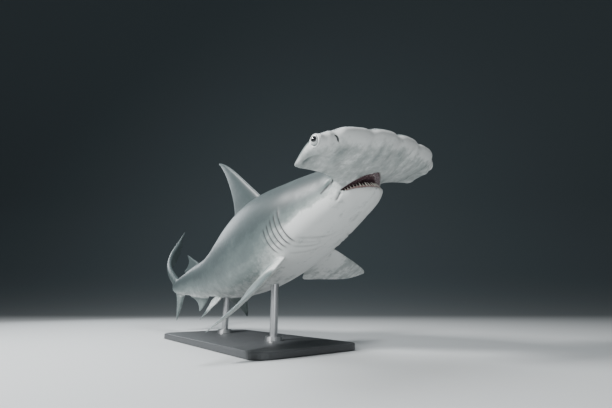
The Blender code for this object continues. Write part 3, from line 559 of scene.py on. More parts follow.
def solid(name, rings, capped=True):
    """A closed loft as an object: flat at both ends, or with its last ring merged with the first."""
    rings = np.asarray(rings, float)
    count, sides = rings.shape[:2]
    faces = loft_faces(count, sides).tolist()
    if capped:
        faces.append(list(range(sides))[::-1])
        faces.append(list(range((count - 1) * sides, count * sides)))
    mesh = bpy.data.meshes.new(name)
    mesh.from_pydata(rings.reshape(-1, 3).tolist(), [], faces)
    work = bmesh.new()
    work.from_mesh(mesh)
    if not capped:
        bmesh.ops.remove_doubles(work, verts=work.verts, dist=1e-6)
    face_outward(work)
    work.to_mesh(mesh)
    work.free()
    return add_object(name, mesh)


def read(items, key):
    """A vector of each item of a mesh, as rows."""
    flat = np.empty(len(items) * 3)
    items.foreach_get(key, flat)
    return flat.reshape(-1, 3)


def points_of(mesh):
    """A mesh's vertices as rows."""
    return read(mesh.vertices, "co")


def set_points(mesh, points):
    """Put a mesh's vertices at rows of points."""
    mesh.vertices.foreach_set("co", np.ascontiguousarray(points, float).ravel())
    mesh.update()


def normals_of(mesh):
    """The vertices' normals as rows."""
    return read(mesh.vertex_normals, "vector")


def boolean(target, operation, others):
    """Join or cut the target with other closed objects, one after another, and remove them."""
    for other in others:
        step = target.modifiers.new("boolean", "BOOLEAN")
        step.operation = operation
        step.object = other
        step.solver = "MANIFOLD"
        bpy.context.view_layer.update()
        graph = bpy.context.evaluated_depsgraph_get()
        made = bpy.data.meshes.new_from_object(target.evaluated_get(graph))
        target.modifiers.clear()
        if len(made.polygons) == len(target.data.polygons):
            raise RuntimeError(f"{operation} with {other.name} changed nothing")
        target.data = made
        bpy.data.objects.remove(other)


def largest_only(mesh, shortest=0.0):
    """Merge vertices closer than `shortest`, if given, and keep the largest connected piece."""
    work = bmesh.new()
    work.from_mesh(mesh)
    if shortest:
        bmesh.ops.remove_doubles(work, verts=work.verts, dist=shortest)
    todo = set(work.verts)
    pieces = []
    while todo:
        front = [todo.pop()]
        piece = []
        while front:
            vert = front.pop()
            piece.append(vert)
            for edge in vert.link_edges:
                other = edge.other_vert(vert)
                if other in todo:
                    todo.remove(other)
                    front.append(other)
        pieces.append(piece)
    pieces.sort(key=len, reverse=True)
    spare = [vert for piece in pieces[1:] for vert in piece]
    bmesh.ops.delete(work, geom=spare, context="VERTS")
    wide = [face for face in work.faces if len(face.verts) > 4]
    bmesh.ops.triangulate(work, faces=wide)
    face_outward(work)
    work.to_mesh(mesh)
    work.free()


def nearest_distance(points, marks):
    """Distance from each point to the nearest of some marks."""
    tree = KDTree(len(marks))
    for k, mark in enumerate(marks):
        tree.insert(mark, k)
    tree.balance()
    return np.array([tree.find(point)[2] for point in points])


def relax(mesh, weight, passes):
    """Smooth a mesh: each pass moves a vertex towards its neighbours' mean by its weight."""
    points = points_of(mesh)
    ends = np.empty(len(mesh.edges) * 2, np.int64)
    mesh.edges.foreach_get("vertices", ends)
    ends = ends.reshape(-1, 2)
    live = (weight[ends[:, 0]] > 0.0) | (weight[ends[:, 1]] > 0.0)
    ends = ends[live]
    count = np.bincount(ends.ravel(), minlength=len(points)).astype(float)
    keep = count == 0.0
    count[keep] = 1.0
    for _ in range(passes):
        total = np.zeros_like(points)
        for axis in range(3):
            total[:, axis] = (np.bincount(ends[:, 0], points[ends[:, 1], axis], len(points))
                              + np.bincount(ends[:, 1], points[ends[:, 0], axis], len(points)))
        mean = total / count[:, None]
        mean[keep] = points[keep]
        points = points + weight[:, None] * (mean - points)
    set_points(mesh, points)


def straighten(points):
    """Straight-body coordinates (aft, left, up) of points of the pose.

    Starts at the nearest place of the centre line, then slides along it until the point
    lies square to the forward direction.
    """
    local = points - MOVE
    knots = np.linspace(0.0, 1.0, 401)
    line, axes = SPINE.frame(knots)
    aft = np.empty(len(local))
    for start in range(0, len(local), 4000):
        block = local[start:start + 4000]
        gap = ((block[:, None] - line[None]) ** 2).sum(-1)
        aft[start:start + 4000] = knots[gap.argmin(1)]
    for _ in range(6):
        line, axes = SPINE.frame(aft)
        along = ((local - line) * axes[:, 0]).sum(-1)
        aft = np.clip(aft - 0.7 * along / LENGTH, -0.02, 1.02)
    line, axes = SPINE.frame(aft)
    offset = (local - line) / LENGTH
    return np.stack([aft, (offset * axes[:, 1]).sum(-1), (offset * axes[:, 2]).sum(-1)], -1), axes


# Body: a superellipse section, wider below, round the height of its widest point.
def body_section(aft):
    """Rings of the body at each `aft`, as (aft, left, up)."""
    aft = np.atleast_1d(np.asarray(aft, float))
    half, top, under = smooth(BODY, aft).T
    angle = circle(BODY_SIDES, 0.5)
    cosine = np.cos(angle)[None, :]
    sine = np.sin(angle)[None, :]
    power = np.where(sine > 0.0, 2.0 / BODY_ROUND, 2.0 / BELLY_ROUND)
    middle = (0.5 * (top + under) - 0.06 * (top - under))[:, None]
    reach = np.where(sine > 0.0, top[:, None] - middle, middle - under[:, None])
    left = half[:, None] * np.sign(cosine) * np.abs(cosine) ** power
    up = middle + reach * np.sign(sine) * np.abs(sine) ** power
    back, left, up = gill_flaps(np.broadcast_to(aft[:, None], left.shape), left, up, middle)
    return np.stack([back, left, up], -1)


def gill_flaps(aft, left, up, middle):
    """Lift the flank into five flaps: each rises towards its slit and drops behind it.

    The slits bow back at mid height, so the rings near them are slid aft with the height.
    """
    step = (aft - GILL_FIRST) / GILL_PITCH
    number = np.ceil(step - 1e-9)
    place = step - number + 1.0
    inside = (step > -1.0) & (step <= GILLS - 1 + 1e-9)
    rise = np.where(inside, place**2.5, 0.0)
    pinch = np.where(inside, -0.35 * bell(place, 1.0, 0.05), 0.0)
    behind = (step > 0.0) & (step <= GILLS + 0.3)
    pinch = pinch - np.where(behind, 0.9 * bell(step, np.floor(step), 0.10), 0.0)
    top = GILL_TOP - GILL_TOP_STEP * np.clip(number, 0, GILLS - 1)
    fade = ease(0.0, 0.022, top - up) * ease(0.0, 0.009, up - GILL_BOTTOM)
    lift = GILL_RISE * (rise + 0.5 * pinch) * fade
    out = np.stack([left, up - middle], -1)
    out = out / np.maximum(np.linalg.norm(out, axis=-1, keepdims=True), 1e-9)
    return aft + gill_bow(aft, up), left + lift * out[..., 0], up + lift * out[..., 1]


def body_stations():
    """Where the body's rings lie: evenly along, and close together at the gills."""
    places = list(np.linspace(BODY[0][0], GILL_RINGS_FRONT, 66))
    places += list(np.linspace(GILL_RINGS_FRONT, GILL_RINGS_BACK, 60))
    places += list(np.linspace(GILL_RINGS_BACK, BODY[-1][0], 176))
    for slit in range(GILLS):
        places += [GILL_FIRST + slit * GILL_PITCH + off for off in SLIT_RINGS]
    return np.unique(np.round(places, 6))


def hammer_relief(off, chord):
    """How far the hammer's underside is pressed in: folds that run aft, and a dish at each end.

    A fold is a valley along a line from a dent in the front margin, with a ridge outboard of it.
    """
    depth = np.zeros(np.broadcast(off, chord).shape)
    for place, drift, reach, deep, wide in HAMMER_VALLEYS:
        line = place + drift * chord
        fade = ease(0.0, 0.08, chord) * (1.0 - ease(0.45 * reach, reach, chord))
        ridge = 0.40 * bell(off, line + 1.9 * wide, 1.4 * wide)
        depth = depth + deep * fade * (bell(off, line, wide) - ridge)
    dish = ease(0.080, 0.098, off) * (1.0 - ease(0.112, 0.121, off))
    brow = ease(0.070, 0.090, off) * (1.0 - ease(0.114, 0.121, off))
    return depth + 0.0046 * dish * bell(chord, 0.66, 0.17) - 0.0014 * brow * bell(chord, 0.30, 0.10)


def hammer_profile(chord):
    """Thickness of the hammer along its chord: a blunt foil that thins aft."""
    return (4.0 * chord * (1.0 - chord)) ** 0.42 * (1.0 - 0.45 * chord**1.5)


def hammer_edges(off):
    """Front and rear margin, and height above and below, at distances from the middle."""
    return [smooth(table, off)[..., 0] for table in (FRONT_MARGIN, REAR_MARGIN, HAMMER_TOP, HAMMER_UNDER)]


def hammer_rings():
    """Rings of the hammer from its right end to its left."""
    across = np.sin(np.linspace(-0.5 * math.pi, 0.5 * math.pi, HAMMER_STEPS + 1) * 0.985)
    across = HAMMER_HALF * (0.45 * across + 0.55 * np.linspace(-1.0, 1.0, HAMMER_STEPS + 1))
    off = np.abs(across)[:, None]
    front, back, top, under = hammer_edges(off)
    dent = sum(depth * bell(off, place, half) for place, depth, half in NOTCHES)
    past = np.clip((off - (HAMMER_HALF - TIP_ROUND)) / TIP_ROUND, 0.0, 1.0)
    close = np.sqrt(np.maximum(1.0 - past**2, 0.004))
    angle = circle(HAMMER_SIDES, 0.5)
    chord = 0.5 * (1.0 - np.cos(angle))
    body = hammer_profile(chord)
    body = body / body.max()
    aft = front + (back - front) * chord + dent * (1.0 - chord) ** 5
    rise = np.where(np.sin(angle) > 0.0, top * body, -under * body)
    rise = rise + np.where(np.sin(angle) < 0.0, hammer_relief(off, chord), 0.0) * body
    up = rise * close + HAMMER_LIFT - HAMMER_DROOP * chord
    return np.stack([aft, np.broadcast_to(across[:, None], aft.shape), up], -1)


def hammer_under(aft, off):
    """Height of the hammer's underside at (aft, distance from the middle)."""
    front, back, _, under = hammer_edges(off)
    chord = np.clip((aft - front) / (back - front), 0.0005, 0.9995)
    return HAMMER_LIFT - HAMMER_DROOP * chord - under * hammer_profile(chord) / HAMMER_PEAK


def lip_line(left):
    """How far aft the lips meet at each `left`."""
    return MOUTH_BACK - np.maximum(np.abs(left) - CORNER_HALF, 0.0) / CORNER_SPREAD


def arc_radius(aft, left, arc):
    """1 on a jaw's arc, less inside it: a superellipse, given by its front, half width and power."""
    front, half, power = arc
    ahead = np.maximum((MOUTH_BACK - aft) / (MOUTH_BACK - front), 0.0)
    return (ahead**power + np.abs(left / half) ** power) ** (1.0 / power)


def before_throat(aft):
    """0 at the throat and 1 a little further forward."""
    return ease(0.004, 0.020, THROAT - aft)


def roof(aft, left):
    """Height of the mouth's roof: level with the hammer outside the lip, vaulted within it."""
    ahead = np.maximum(lip_line(left) - aft, 0.0)
    plane = MOUTH_HEIGHT + ROOF_SLOPE * ahead
    skin = hammer_under(aft, np.abs(left)) + 0.0001 - 0.0040 * (1.0 - ease(0.0575, 0.0640, aft))
    within = 1.0 - ease(0.96, 1.02, arc_radius(aft, left, UPPER_LIP))
    gum = arc_radius(aft, left, UPPER_ARC)
    vault = VAULT_HEIGHT * (1.0 - ease(0.40, 0.90, gum)) * before_throat(aft)
    wave = np.sin((aft + 0.35 * left**2 / 0.03) * RIDGE_TURNS)
    vault = vault + RIDGE_HEIGHT * wave * (1.0 - ease(0.5, 0.85, gum))
    ahead_of_lips = np.minimum(skin, plane) * (1.0 - within) + (plane + vault + 0.0006) * within
    return np.where(aft > lip_line(left), plane + vault, ahead_of_lips)


def floor(aft, left):
    """Height of the lower jaw's upper side: the lip outside, a raised gum, and the tongue's hollow."""
    ahead = np.maximum(lip_line(left) - aft, 0.0)
    gum = arc_radius(aft, left, LOWER_ARC)
    swell = GUM_HEIGHT * bell(gum, 0.955, 0.060) * ease(0.0, 0.024, ahead)
    hollow = HOLLOW_DEPTH * (1.0 - ease(0.45, 0.86, gum)) * before_throat(aft)
    tongue = TONGUE_HEIGHT * (1.0 - ease(0.20, 0.50, gum))
    fold = 0.0003 * np.sin(left * 900.0) * (1.0 - ease(0.5, 0.8, gum))
    return MOUTH_HEIGHT - FLOOR_SLOPE * ahead - hollow + tongue + fold + swell


def mouth_rings():
    """Rings of the gape from the throat forward: over the roof one way, back over the floor."""
    aft = GAPE_BACK - (GAPE_BACK - GAPE_FRONT) * np.linspace(0.0, 1.0, 96)[:, None]
    behind = np.clip((aft - MOUTH_BACK) / (GAPE_BACK - MOUTH_BACK), 0.0, 1.0)
    corner = CORNER_HALF * 0.93
    throat = corner * np.sqrt(np.maximum(1.0 - behind**2, 0.0009))
    half = np.where(aft > MOUTH_BACK, throat, corner + 1.15 * (MOUTH_BACK - aft))
    across = np.cos(np.linspace(0.0, math.pi, 76))
    left = half * across
    shut = ease(0.0, 0.06, 1.0 - across**2)
    opened = ease(0.0, 0.004, MOUTH_BACK - aft)
    shut = shut * (1.0 - opened) + opened
    over = MOUTH_HEIGHT + (roof(aft, left) - MOUTH_HEIGHT) * shut + 0.00006
    below = MOUTH_HEIGHT + (floor(aft, left) - MOUTH_HEIGHT) * shut - 0.00006
    wide = np.broadcast_to(aft, left.shape)
    upper = np.stack([wide, left, over], -1)
    lower = np.stack([wide, left, below], -1)[:, ::-1]
    return np.concatenate([upper, lower], 1)


def foil(sides):
    """A ring round a fin section: chord places from 0 to 1 and back, and half thickness."""
    angle = circle(sides, 0.5)
    chord = 0.5 * (1.0 - np.cos(angle))
    body = (4.0 * chord * (1.0 - chord)) ** 0.5 * (1.0 - 0.72 * chord**0.9)
    return chord, np.sign(np.sin(angle)) * body / body.max()


def fin_rings(table, steps, thickness, tip_thickness):
    """Rings of a flat fin: (chordwise, thickness, out), from a table of its two edges."""
    rows = np.asarray(table, float)
    span = np.linspace(0.0, 1.0, steps)
    knots = np.linspace(0.0, 1.0, len(rows))
    out, front, back = smooth(np.column_stack([knots, rows[:, :3]]), span).T
    chord, half = foil(FIN_SIDES)
    thick = thickness + (tip_thickness - thickness) * span**1.2
    thick = thick * np.minimum(1.0, 0.35 + (back - front) / 0.03)
    place = front[:, None] + (back - front)[:, None] * chord
    return np.stack([place, thick[:, None] * half, np.broadcast_to(out[:, None], place.shape)], -1), span


def middle_fin(name, table, steps, thickness, tip_thickness, station):
    """A fin on the middle line: up or down from the body, bent with it or, at a station, stiff."""
    rings, _ = fin_rings(table, steps, thickness, tip_thickness)
    placed = SPINE.bend(rings) if station is None else SPINE.stiff(rings, station)
    return solid(name, placed + MOVE)


def side_fin(name, table, steps, thickness, root, tip, twist, height):
    """A paired fin: stiff, swept along `tip` from its root, turned by `twist`, bowed by `height`."""
    rings, span = fin_rings(table, steps, thickness, SIDE_FIN_TIP)
    knots = np.linspace(0.0, 1.0, len(table))
    bow = height * smooth(np.column_stack([knots, np.asarray(table)[:, 3]]), span)
    tip = unit(tip)
    side = 1.0 if tip[1] > 0.0 else -1.0
    aft_axis = np.array([1.0, 0.0, 0.0])
    out = unit(tip - aft_axis * (tip @ aft_axis))
    turn = math.atan2(tip @ aft_axis, tip @ out) - math.atan2(table[-1][1], table[-1][0])
    out_dir = math.cos(turn) * out + math.sin(turn) * aft_axis
    chord_dir = math.cos(turn) * aft_axis - math.sin(turn) * out
    normal = np.cross(chord_dir, out_dir) * side
    spin = Matrix.Rotation(math.radians(twist) * side, 3, Vector(out_dir))
    chord_dir = np.array(spin @ Vector(chord_dir))
    normal = np.array(spin @ Vector(normal))
    root = mirrored(root, side)
    local = (root + rings[..., 0:1] * chord_dir + rings[..., 2:3] * out_dir
             + (rings[..., 1:2] + bow[:, None, :]) * normal)
    return solid(name, SPINE.stiff(local, root[0] + 0.03) + MOVE)


def head_axes(aft):
    """The three directions at `aft` as the columns aft, left, up."""
    _, axes = SPINE.frame(aft)
    return np.stack([-axes[0, 0], axes[0, 1], axes[0, 2]], 1)


def ball_rings(centre, radii, rings, sides, grow=0.0):
    """Rings of an ellipsoid on the head, from its outer pole to its inner one."""
    polar = math.pi * (np.arange(rings) + 0.5) / rings
    turn = circle(sides)
    shape = np.stack([np.sin(polar)[:, None] * np.cos(turn)[None],
                      np.broadcast_to(np.cos(polar)[:, None], (rings, sides)),
                      np.sin(polar)[:, None] * np.sin(turn)[None]], -1)
    size = np.asarray(radii, float) * LENGTH + grow
    return SPINE.bend(np.array(centre)) + (shape * size) @ head_axes(centre[0]).T + MOVE


def lid(side):
    """The raised rim round an eye: a tube whose path is a circle a little outside the eyeball."""
    turn = circle(72)[:, None]
    around = circle(16)
    wide = 0.985 * EYE_RADIUS + 0.50 * LID_WIDTH + LID_WIDTH * np.cos(around)
    high = LID_WIDTH * np.sin(around) * np.ones((72, 1))
    shape = np.stack([wide * np.cos(turn), side * high, wide * np.sin(turn)], -1)
    centre = np.array([EYE[0], (EYE[1] - 0.0002) * side, EYE[2]])
    rings = SPINE.bend(centre) + LENGTH * shape @ head_axes(EYE[0]).T + MOVE
    return solid("lid", np.concatenate([rings, rings[:1]]), capped=False)


def tube(name, path, widths, sides):
    """A closed tube along a path on the straight body; `widths` gives its radius at each point."""
    path = np.asarray(path, float)
    run = unit(np.gradient(path, axis=0))
    across = unit(np.cross(run, np.array([0.0, 1.0, 0.2])))
    over = np.cross(run, across)
    angle = circle(sides)
    ring = across[:, None] * np.cos(angle)[None, :, None] + over[:, None] * np.sin(angle)[None, :, None]
    rings = path[:, None] + np.asarray(widths)[:, None, None] * ring
    return solid(name, SPINE.bend(rings) + MOVE)


def through(places, count):
    """A smooth path of `count` points through a few places."""
    places = np.asarray(places, float)
    knots = np.linspace(0.0, 1.0, len(places))
    return smooth(np.column_stack([knots, places]), np.linspace(0.0, 1.0, count))


def laid_path(places, side, count, outer):
    """A smooth path through a few places, laid on the hide and given on the straight body."""
    path = SPINE.bend(mirrored(through(places, count), side)) + MOVE
    return straighten(np.array([tuple(outer.find_nearest(Vector(place))[0]) for place in path]))[0]


def nostril(side, outer):
    """A wavy slot laid on the skin across the front margin, inboard of the eye."""
    along = np.linspace(0.0, 1.0, NOSTRIL_STEPS)
    widths = NOSTRIL_HALF * (0.25 + 0.75 * np.sin(math.pi * along) ** 0.6)
    return tube("nostril", laid_path(NOSTRIL, side, NOSTRIL_STEPS, outer), widths, 12)


def path_distance(points, path):
    """Distance in metres from straight-body points to a path, and how far along it the foot lies."""
    best = np.full(len(points), 1e9)
    along = np.zeros(len(points))
    for k in range(len(path) - 1):
        run = path[k + 1] - path[k]
        t = np.clip(((points - path[k]) @ run) / (run @ run), 0.0, 1.0)
        gap = np.linalg.norm(points - path[k] - t[:, None] * run, axis=-1) * LENGTH
        nearer = gap < best
        best = np.where(nearer, gap, best)
        along = np.where(nearer, (k + t) / (len(path) - 1), along)
    return best, along


def sunk(mesh, outer):
    """How far each vertex of the head lies from the hide as it was before it was cut open."""
    points = points_of(mesh)
    aft, left, _ = straighten(points)[0].T
    depth = np.zeros(len(points))
    for k in np.nonzero((aft < 0.13) & (np.abs(left) < 0.13))[0]:
        depth[k] = outer.find_nearest(Vector(points[k]))[3]
    return depth


def fold_skin(mesh, outer):
    """Press the folds into the hide along its normals; returns the painted shade each vertex gets along the folds'
    bottoms.
    """
    points = points_of(mesh)
    normal = normals_of(mesh)
    straight, _ = straighten(points)
    press = np.zeros(len(points))
    shade = np.zeros(len(points))
    for side, places, width, depth, dark in FOLDS:
        for way in (1.0, -1.0) if side == 0 else (float(side),):
            path = laid_path(places, way, 28, outer)
            low = path.min(0) - 5.0 * width / LENGTH
            high = path.max(0) + 5.0 * width / LENGTH
            near = np.nonzero(((straight > low) & (straight < high)).all(-1))[0]
            gap, along = path_distance(straight[near], path)
            fade = ease(0.0, 0.20, along) * (1.0 - ease(0.60, 1.0, along))
            ridge = 0.15 * bell(gap, 2.2 * width, 1.2 * width)
            press[near] += fade * depth * (bell(gap, 0.0, width) - ridge)
            shade[near] = np.maximum(shade[near], dark * fade * bell(gap, 0.0, 0.75 * width))
    set_points(mesh, points - normal * press[:, None])
    return shade


def make_skin():
    """The whole hide: the body, hammer and fins joined, faired where they meet, and cut open."""
    skin = solid("hide", SPINE.bend(body_section(body_stations())) + MOVE)
    parts = [solid("hammer", SPINE.bend(hammer_rings()) + MOVE)]
    for side in (-1.0, 1.0):
        parts.append(solid("mound", ball_rings(mirrored(MOUND, side), MOUND_RADII, 24, 44)))
    parts += [middle_fin(*fin) for fin in MIDDLE_FINS]
    parts += [side_fin(*fin) for fin in SIDE_FINS]
    parts += [middle_fin(*lobe) for lobe in TAIL_LOBES]
    known = np.concatenate([points_of(skin.data)] + [points_of(part.data) for part in parts])
    boolean(skin, "UNION", parts)
    largest_only(skin.data)
    fair(skin.data, known, 0.022, 40)
    outer = BVHTree.FromObject(skin, bpy.context.evaluated_depsgraph_get())
    boolean(skin, "UNION", [lid(1.0), lid(-1.0)])
    known = points_of(skin.data)
    cutters = [solid("gape", SPINE.bend(mouth_rings()) + MOVE)]
    for side in (1.0, -1.0):
        cutters.append(solid("socket", ball_rings(mirrored(EYE, side), EYE_RADII, 26, 44, GAP)))
        cutters.append(nostril(side, outer))
    known = np.concatenate([known] + [points_of(cutter.data) for cutter in cutters])
    boolean(skin, "DIFFERENCE", cutters)
    largest_only(skin.data, 0.0004)
    fair(skin.data, known, 0.006, 5)
    skin.data.validate()
    depth = sunk(skin.data, outer)
    return skin, fold_skin(skin.data, outer), depth


def fair(mesh, known, reach, passes):
    """Fair the seams: vertices that no source mesh had mark them, and the smoothing fades off."""
    points = points_of(mesh)
    seam = nearest_distance(points, known) > 2e-5
    distance = nearest_distance(points, points[seam])
    relax(mesh, 0.6 * (1.0 - ease(0.35 * reach, reach, distance)), passes)


def gill_bow(aft, up):
    """How far aft the slits bow at each height."""
    near = ease(0.155, 0.185, aft) * (1.0 - ease(0.236, 0.262, aft))
    return (GILL_BOW * near * (1.0 - ((up - GILL_BOW_MIDDLE) / GILL_BOW_REACH) ** 2)
            * ease(-0.075, -0.045, up) * ease(0.045, 0.010, up))


def gill_slit_shade(aft, left, up):
    """Painted shade in the slits between the gill flaps, with a softer painted shadow beside each: an offset from the
    nearest of the bowed lines.
    """
    swing = (up - GILL_BOW_MIDDLE) / GILL_BOW_REACH
    back = aft - (1.0 - swing * swing) * GILL_BOW - GILL_FIRST
    number = round(back / GILL_PITCH).limit(0.0, GILLS - 1.0)
    off = back - number * GILL_PITCH
    line = 1.0 - abs(off - 0.0004).step(0.0008, 0.0025)
    soft = 0.42 * (1.0 - abs(off - 0.0012).step(0.0, 0.0042))
    below_top = (GILL_TOP - number * GILL_TOP_STEP - up).step(0.0, 0.009)
    fade = below_top * (up - GILL_BOTTOM).step(0.0, 0.009)
    return line.larger(soft) * fade * abs(left).step(0.028, 0.032)


def neck_crease_shade(aft, left, up):
    """Painted shade in the crease between hammer and neck: the distance from a segment seen from the side."""
    first, last = NECK_CREASE
    run = (last[0] - first[0], last[1] - first[1])
    along = ((aft - first[0]) * run[0] + (up - first[1]) * run[1]) / (run[0] ** 2 + run[1] ** 2)
    along = along.limit(0.0, 1.0)
    off_aft = aft - first[0] - along * run[0]
    off_up = up - first[1] - along * run[1]
    off = (off_aft * off_aft + off_up * off_up) ** 0.5
    return (1.0 - (off + along * 0.0008).step(0.0009, 0.0032)) * abs(left).step(0.028, 0.034)


def store(mesh, name, values):
    """Store a number or a vector at each vertex."""
    values = np.ascontiguousarray(values, np.float32)
    kind, key = ("FLOAT", "value") if values.ndim == 1 else ("FLOAT_VECTOR", "vector")
    mesh.attributes.new(name, kind, "POINT").data.foreach_set(key, values.ravel())


def hide_dark(aft, left, up, facing):
    """Countershading, 0 to 1, from how high a vertex lies and how far its normal faces up, darker towards the tail; on
    the hammer, painted highlight along the front margin and chin and painted shade behind them.
    """
    half, top, under = smooth(BODY, np.maximum(aft, 0.10)).T
    height = (up - 0.5 * (top + under)) / (0.5 * (top - under))
    beyond = np.abs(left) / np.maximum(half, 0.02)
    in_hammer = 1.0 - ease(0.085, 0.125, aft)
    on_fin = ease(1.12, 1.35, beyond) * (1.0 - in_hammer)
    upright = ease(1.05, 1.25, np.abs(height)) * (1.0 - ease(1.0, 1.4, beyond)) * ease(0.24, 0.27, aft)
    rear = ease(0.17, 0.30, aft)
    body = ease(-0.62 - 0.93 * rear, 0.38 + 0.12 * rear, height + 0.20 * facing) ** (1.25 - 0.25 * rear)
    dark = body * (1.0 - on_fin) + (0.18 + 0.55 * ease(-0.2, 0.6, facing)) * on_fin
    # Painted light on the hammer: a grey of 0.19 behind the front margin and above the chin is painted shade, seen
    # most on the underside. It leaves the margin and chin pale as painted highlight. The darkening where the normal
    # faces up is the hammer's countershading.
    margin = smooth(FRONT_MARGIN, np.abs(left))[:, 0]
    hammer = 0.19 * ease(0.004, 0.020, aft - margin) * ease(-0.033, -0.027, up)
    hammer = hammer + ease(0.05, 0.85, facing)
    dark = dark * (1.0 - in_hammer) + hammer * in_hammer
    dark = np.maximum(dark, upright * np.where(up > 0.0, 0.90, 0.50))
    return np.maximum(dark, 0.62 * ease(0.66, 0.76, aft))


def mouth_marks(aft, left, up, depth):
    """How far each vertex has the mouth's lining, and how pink that is."""
    mouth = (np.abs(left) < LINING_HALF) & (aft > LINING_FRONT) & (aft < LINING_BACK)
    mouth = mouth & (up > floor(aft, left) - LINING_BELOW)
    lining = np.where(mouth, ease(0.0012, 0.0060, depth), 0.0)
    upper = up > 0.5 * (roof(aft, left) + floor(aft, left))
    arc = np.where(upper, arc_radius(aft, left, UPPER_ARC), arc_radius(aft, left, LOWER_ARC))
    gum = ease(0.0008, 0.0030, up - MOUTH_HEIGHT + FLOOR_SLOPE * (MOUTH_BACK - aft))
    gum = np.where(mouth & ~upper, gum * ease(0.86, 0.90, arc), 0.0)
    return np.maximum(lining, gum), np.where(upper, 0.05, 1.0) * ease(0.72, 0.84, arc)


def mark_skin(skin, shade, depth):
    """Store what the hide's material reads: how dark it is, with painted light on the hammer, the lining, its pink,
    painted shade in slits and creases, places.
    """
    mesh = skin.data
    straight, axes = straighten(points_of(mesh))
    aft, left, up = straight.T
    lining, pink = mouth_marks(aft, left, up, depth)
    # Painted shade in the nostril slots, darker the deeper a vertex lies below the hide.
    slot = (np.abs(left) > SLOT_INNER) & (np.abs(left) < SLOT_OUTER) & (aft < SLOT_BACK)
    slit = np.maximum(shade, np.where(slot, ease(0.0008, 0.0028, depth), 0.0))
    store(mesh, "dark", hide_dark(aft, left, up, (normals_of(mesh) * axes[:, 2]).sum(-1)))
    store(mesh, "lining", lining)
    store(mesh, "pink", pink)
    store(mesh, "slit", slit)
    store(mesh, "straight", straight)
    mesh.shade_smooth()


class Sock:
    """A node socket that takes part in arithmetic like a number."""

    def __init__(self, graph, socket):
        self.graph = graph
        self.socket = socket

    def maths(self, kind, *inputs):
        return self.graph.node("ShaderNodeMath", dict(enumerate(inputs)), operation=kind)

    def __add__(self, other):
        return self.maths("ADD", self, other)

    __radd__ = __add__

    def __sub__(self, other):
        return self.maths("SUBTRACT", self, other)

    def __rsub__(self, other):
        return self.maths("SUBTRACT", other, self)

    def __mul__(self, other):
        return self.maths("MULTIPLY", self, other)

    __rmul__ = __mul__

    def __truediv__(self, other):
        return self.maths("DIVIDE", self, other)

    def __pow__(self, other):
        return self.maths("POWER", self, other)

    def __abs__(self):
        return self.maths("ABSOLUTE", self)

    def __round__(self):
        return self.maths("ROUND", self)

    def larger(self, other):
        """The larger of two."""
        return self.maths("MAXIMUM", self, other)

    def limit(self, low, high):
        """Kept between two limits."""
        return self.graph.node("ShaderNodeClamp", {0: self, 1: low, 2: high})

    def step(self, low, high):
        """A smooth step from 0 at `low` to 1 at `high`."""
        return self.graph.node("ShaderNodeMapRange", {0: self, 1: low, 2: high, 3: 0.0, 4: 1.0},
                               interpolation_type="SMOOTHSTEP")


class Graph:
    """A material's nodes."""

    def __init__(self, name):
        self.material = bpy.data.materials.new(name)
        self.material.use_nodes = True
        self.tree = self.material.node_tree
        self.shader = self.tree.nodes["Principled BSDF"]

    def node(self, kind, inputs=None, output=0, **settings):
        """Any node: its settings, its inputs by number or name, and one of its outputs."""
        made = self.tree.nodes.new(kind)
        for key, value in settings.items():
            setattr(made, key, value)
        for key, value in (inputs or {}).items():
            if isinstance(value, Sock):
                self.tree.links.new(value.socket, made.inputs[key])
            else:
                made.inputs[key].default_value = value
        return Sock(self, made.outputs[output])

    def attribute(self, name, output="Fac"):
        return self.node("ShaderNodeAttribute", output=output, attribute_name=name)

    def place(self):
        return self.node("ShaderNodeTexCoord", output="Object")

    def split(self, vector):
        """A vector's three numbers."""
        node = self.node("ShaderNodeSeparateXYZ", {0: vector}).socket.node
        return [Sock(self, output) for output in node.outputs]

    def noise(self, scale, detail=4.0, roughness=0.5, where=None):
        sockets = {"Vector": where or self.place(), "Scale": scale, "Detail": detail, "Roughness": roughness}
        return self.node("ShaderNodeTexNoise", sockets)

    def mix(self, factor, first, second):
        """A colour between two others."""
        return self.node("ShaderNodeMix", {0: factor, 6: first, 7: second}, output=2, data_type="RGBA")

    def bump(self, height, distance, strength):
        return self.node("ShaderNodeBump", {"Height": height, "Distance": distance, "Strength": strength})

    def set(self, **values):
        """Principled inputs; an underscore in a name stands for a space."""
        for key, value in values.items():
            socket = self.shader.inputs[key.replace("_", " ")]
            if isinstance(value, Sock):
                self.tree.links.new(value.socket, socket)
            else:
                socket.default_value = value
        return self.material


def rgb(red, green, blue):
    return (red, green, blue, 1.0)


